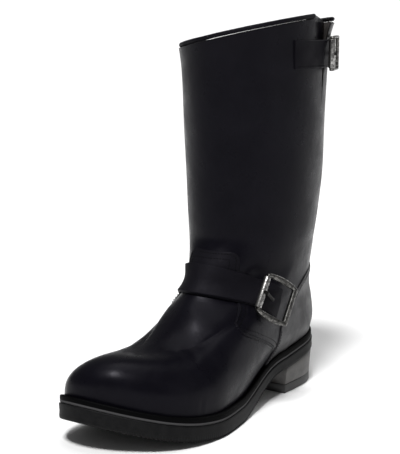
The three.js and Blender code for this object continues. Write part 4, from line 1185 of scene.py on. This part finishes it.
def buckle(prefix, length, strap_width, margin, overhang):
    """Cast frame, roller and tongue in place of the CAD buckle's solids."""
    centre, along, across, out = buckle_axes(prefix, length)
    half, window, side = length / 2, strap_width / 2 + margin, strap_width / 2 + overhang
    axle = half - AXLE_FROM_END

    def place(a, b, h):
        return centre + a[..., None] * along + b[..., None] * across + h[..., None] * out

    corner = min(window + 3, side)
    outside = frame_loop(half, -half, corner, 2 * side - corner)
    inside = frame_loop(half - 2.8, 5 - half, window, window + overhang * 0.12)
    for _ in range(3):
        outside = (np.roll(outside, 1, 0) + 2 * outside + np.roll(outside, -1, 0)) / 4
    wide, tall = (np.sign(f) * np.abs(f) ** 0.75 for f in around_circle(16))
    spots = (outside + inside)[:, None] / 2 + (outside - inside)[:, None] / 2 * wide[None, :, None]
    rings = place(spots[..., 0], spots[..., 1], np.broadcast_to(tall * FRAME_HALF_HEIGHT, spots.shape[:2]))
    finish_piece(hoop(prefix + "_cast_frame", rings), nickel, "aged_nickel", prefix + "_frame")

    edge = np.array([(radius, inset - window + GAP) for radius, inset in ROLLER_EDGE])
    edge = np.concatenate([edge, (edge * (1, -1))[::-1]])
    c, s = around_circle(40)
    rings = place(axle + edge[:, 0, None] * c, edge[:, 1, None] + 0 * c, edge[:, 0, None] * s)
    finish_piece(hoop(prefix + "_tube_roller", rings), roller_highlight_metal, "aged_nickel", prefix + "_roller")

    prong = node_points(prefix + "_prong") - centre
    a, h = prong @ along, prong @ out
    root, tip = h[a < 0].mean(), h[a > half].mean()
    path = smooth_line([(-1, root), (axle - 5, mix(root, tip, 0.75)), (axle - 2.4, tip + 0.2),
                        (axle, tip + 0.15), (half + 1.3, tip - 0.1)], TONGUE_ROWS)
    fat = np.interp(np.linspace(0, 1, TONGUE_ROWS), [0, 0.03, 0.9, 0.97, 1], [0.6, 1, 1, 0.8, 0.45])
    run = unit(np.gradient(path, axis=0))
    c, s = around_circle(14)
    wide, tall = TONGUE_WIDE * c * fat[:, None], TONGUE_TALL * s * fat[:, None]
    rings = place(path[:, 0, None] - run[:, 1, None] * tall, wide, path[:, 1, None] + run[:, 0, None] * tall)
    finish_piece(loft(prefix + "_tongue", rings, capped=True), dark_metal, "aged_nickel", prefix + "_prong")


buckle("instep_buckle", BUCKLE_LENGTH, STRAP_WIDTH, 1.3, 7.2)
buckle("collar_buckle", 31.0, COLLAR_STRAP_WIDTH, 0.6, 3.0)

finish_piece(add_mesh("stitches", np.concatenate(thread_points), thread_faces, closed=False), thread,
             "black_leather")

# Floor, light and camera
FLOOR_REACH = 30
floor = bpy.data.objects.new("floor", bpy.data.meshes.new("floor"))
floor_corners = [(FLOOR_REACH * a, FLOOR_REACH * b, 0) for a, b in ((-1, -1), (1, -1), (1, 1), (-1, 1))]
floor.data.from_pydata(floor_corners, [], [(0, 1, 2, 3)])
floor.location = (0, 0, -0.0002)
bpy.context.scene.collection.objects.link(floor)
floor.data.materials.append(material("floor_white", (0.88, 0.88, 0.88), 0.9)[0])

world = bpy.data.worlds.new("studio")
bpy.context.scene.world = world
world.use_nodes = True
world.node_tree.nodes["Background"].inputs["Color"].default_value = (1, 1, 1, 1)
world.node_tree.nodes["Background"].inputs["Strength"].default_value = 0.16


def lamp(name, kind, shines, power, place=(0, 0, 0)):
    data = bpy.data.lights.new(name, kind)
    data.energy = power
    piece = bpy.data.objects.new(name, data)
    piece.location = place
    piece.rotation_euler = Vector(shines).to_track_quat("-Z", "Y").to_euler()
    bpy.context.scene.collection.objects.link(piece)
    return data


def soft_sun(name, azimuth, elevation, strength, spread):
    """Sun placed by degrees round from the toe and above the floor, spread degrees wide."""
    turned, risen = math.radians(azimuth), math.radians(elevation)
    level = math.cos(risen)
    towards = Vector((math.cos(turned) * level, math.sin(turned) * level, math.sin(risen)))
    lamp(name, "SUN", -towards, strength).angle = math.radians(spread)


def soft_light(name, place, target, size, power):
    data = lamp(name, "AREA", Vector(target) - Vector(place), power, place)
    data.shape = "RECTANGLE"
    data.size, data.size_y = size


soft_sun("key", 20, 62, 3.3, 12)
soft_sun("overhead", 200, 80, 0.8, 40)
soft_light("side_strip", (-0.1, 1.5, 0.5), (0, 0, 0.15), (0.4, 1.0), 0.8)
soft_light("rear_rim", (-1.2, 0.2, 0.7), (0, 0, 0.2), (0.4, 1.0), 4)

# The camera looks at the photograph's angle, turned a little so that the boot stands in the frame's middle
EYE = (1107.8, 667.9, 397.3)
SIGHT_TURN, SIGHT_FALL = math.radians(37.3), math.radians(11.2)
FRAMING_TURN = math.radians(-2.18)
data = bpy.data.cameras.new("camera")
data.lens = 108.0
data.sensor_width = 36
data.clip_start = 0.05
camera = bpy.data.objects.new("camera", data)
sight = Vector((-math.cos(SIGHT_TURN) * math.cos(SIGHT_FALL), -math.sin(SIGHT_TURN) * math.cos(SIGHT_FALL),
                -math.sin(SIGHT_FALL)))
camera.location = Vector(to_row(np.array(EYE)).tolist())
camera.rotation_euler = (Matrix.Rotation(FRAMING_TURN, 3, "Z") @ sight).to_track_quat("-Z", "Y").to_euler()
bpy.context.scene.collection.objects.link(camera)
bpy.context.scene.camera = camera
bpy.context.scene.view_settings.view_transform = "Standard"
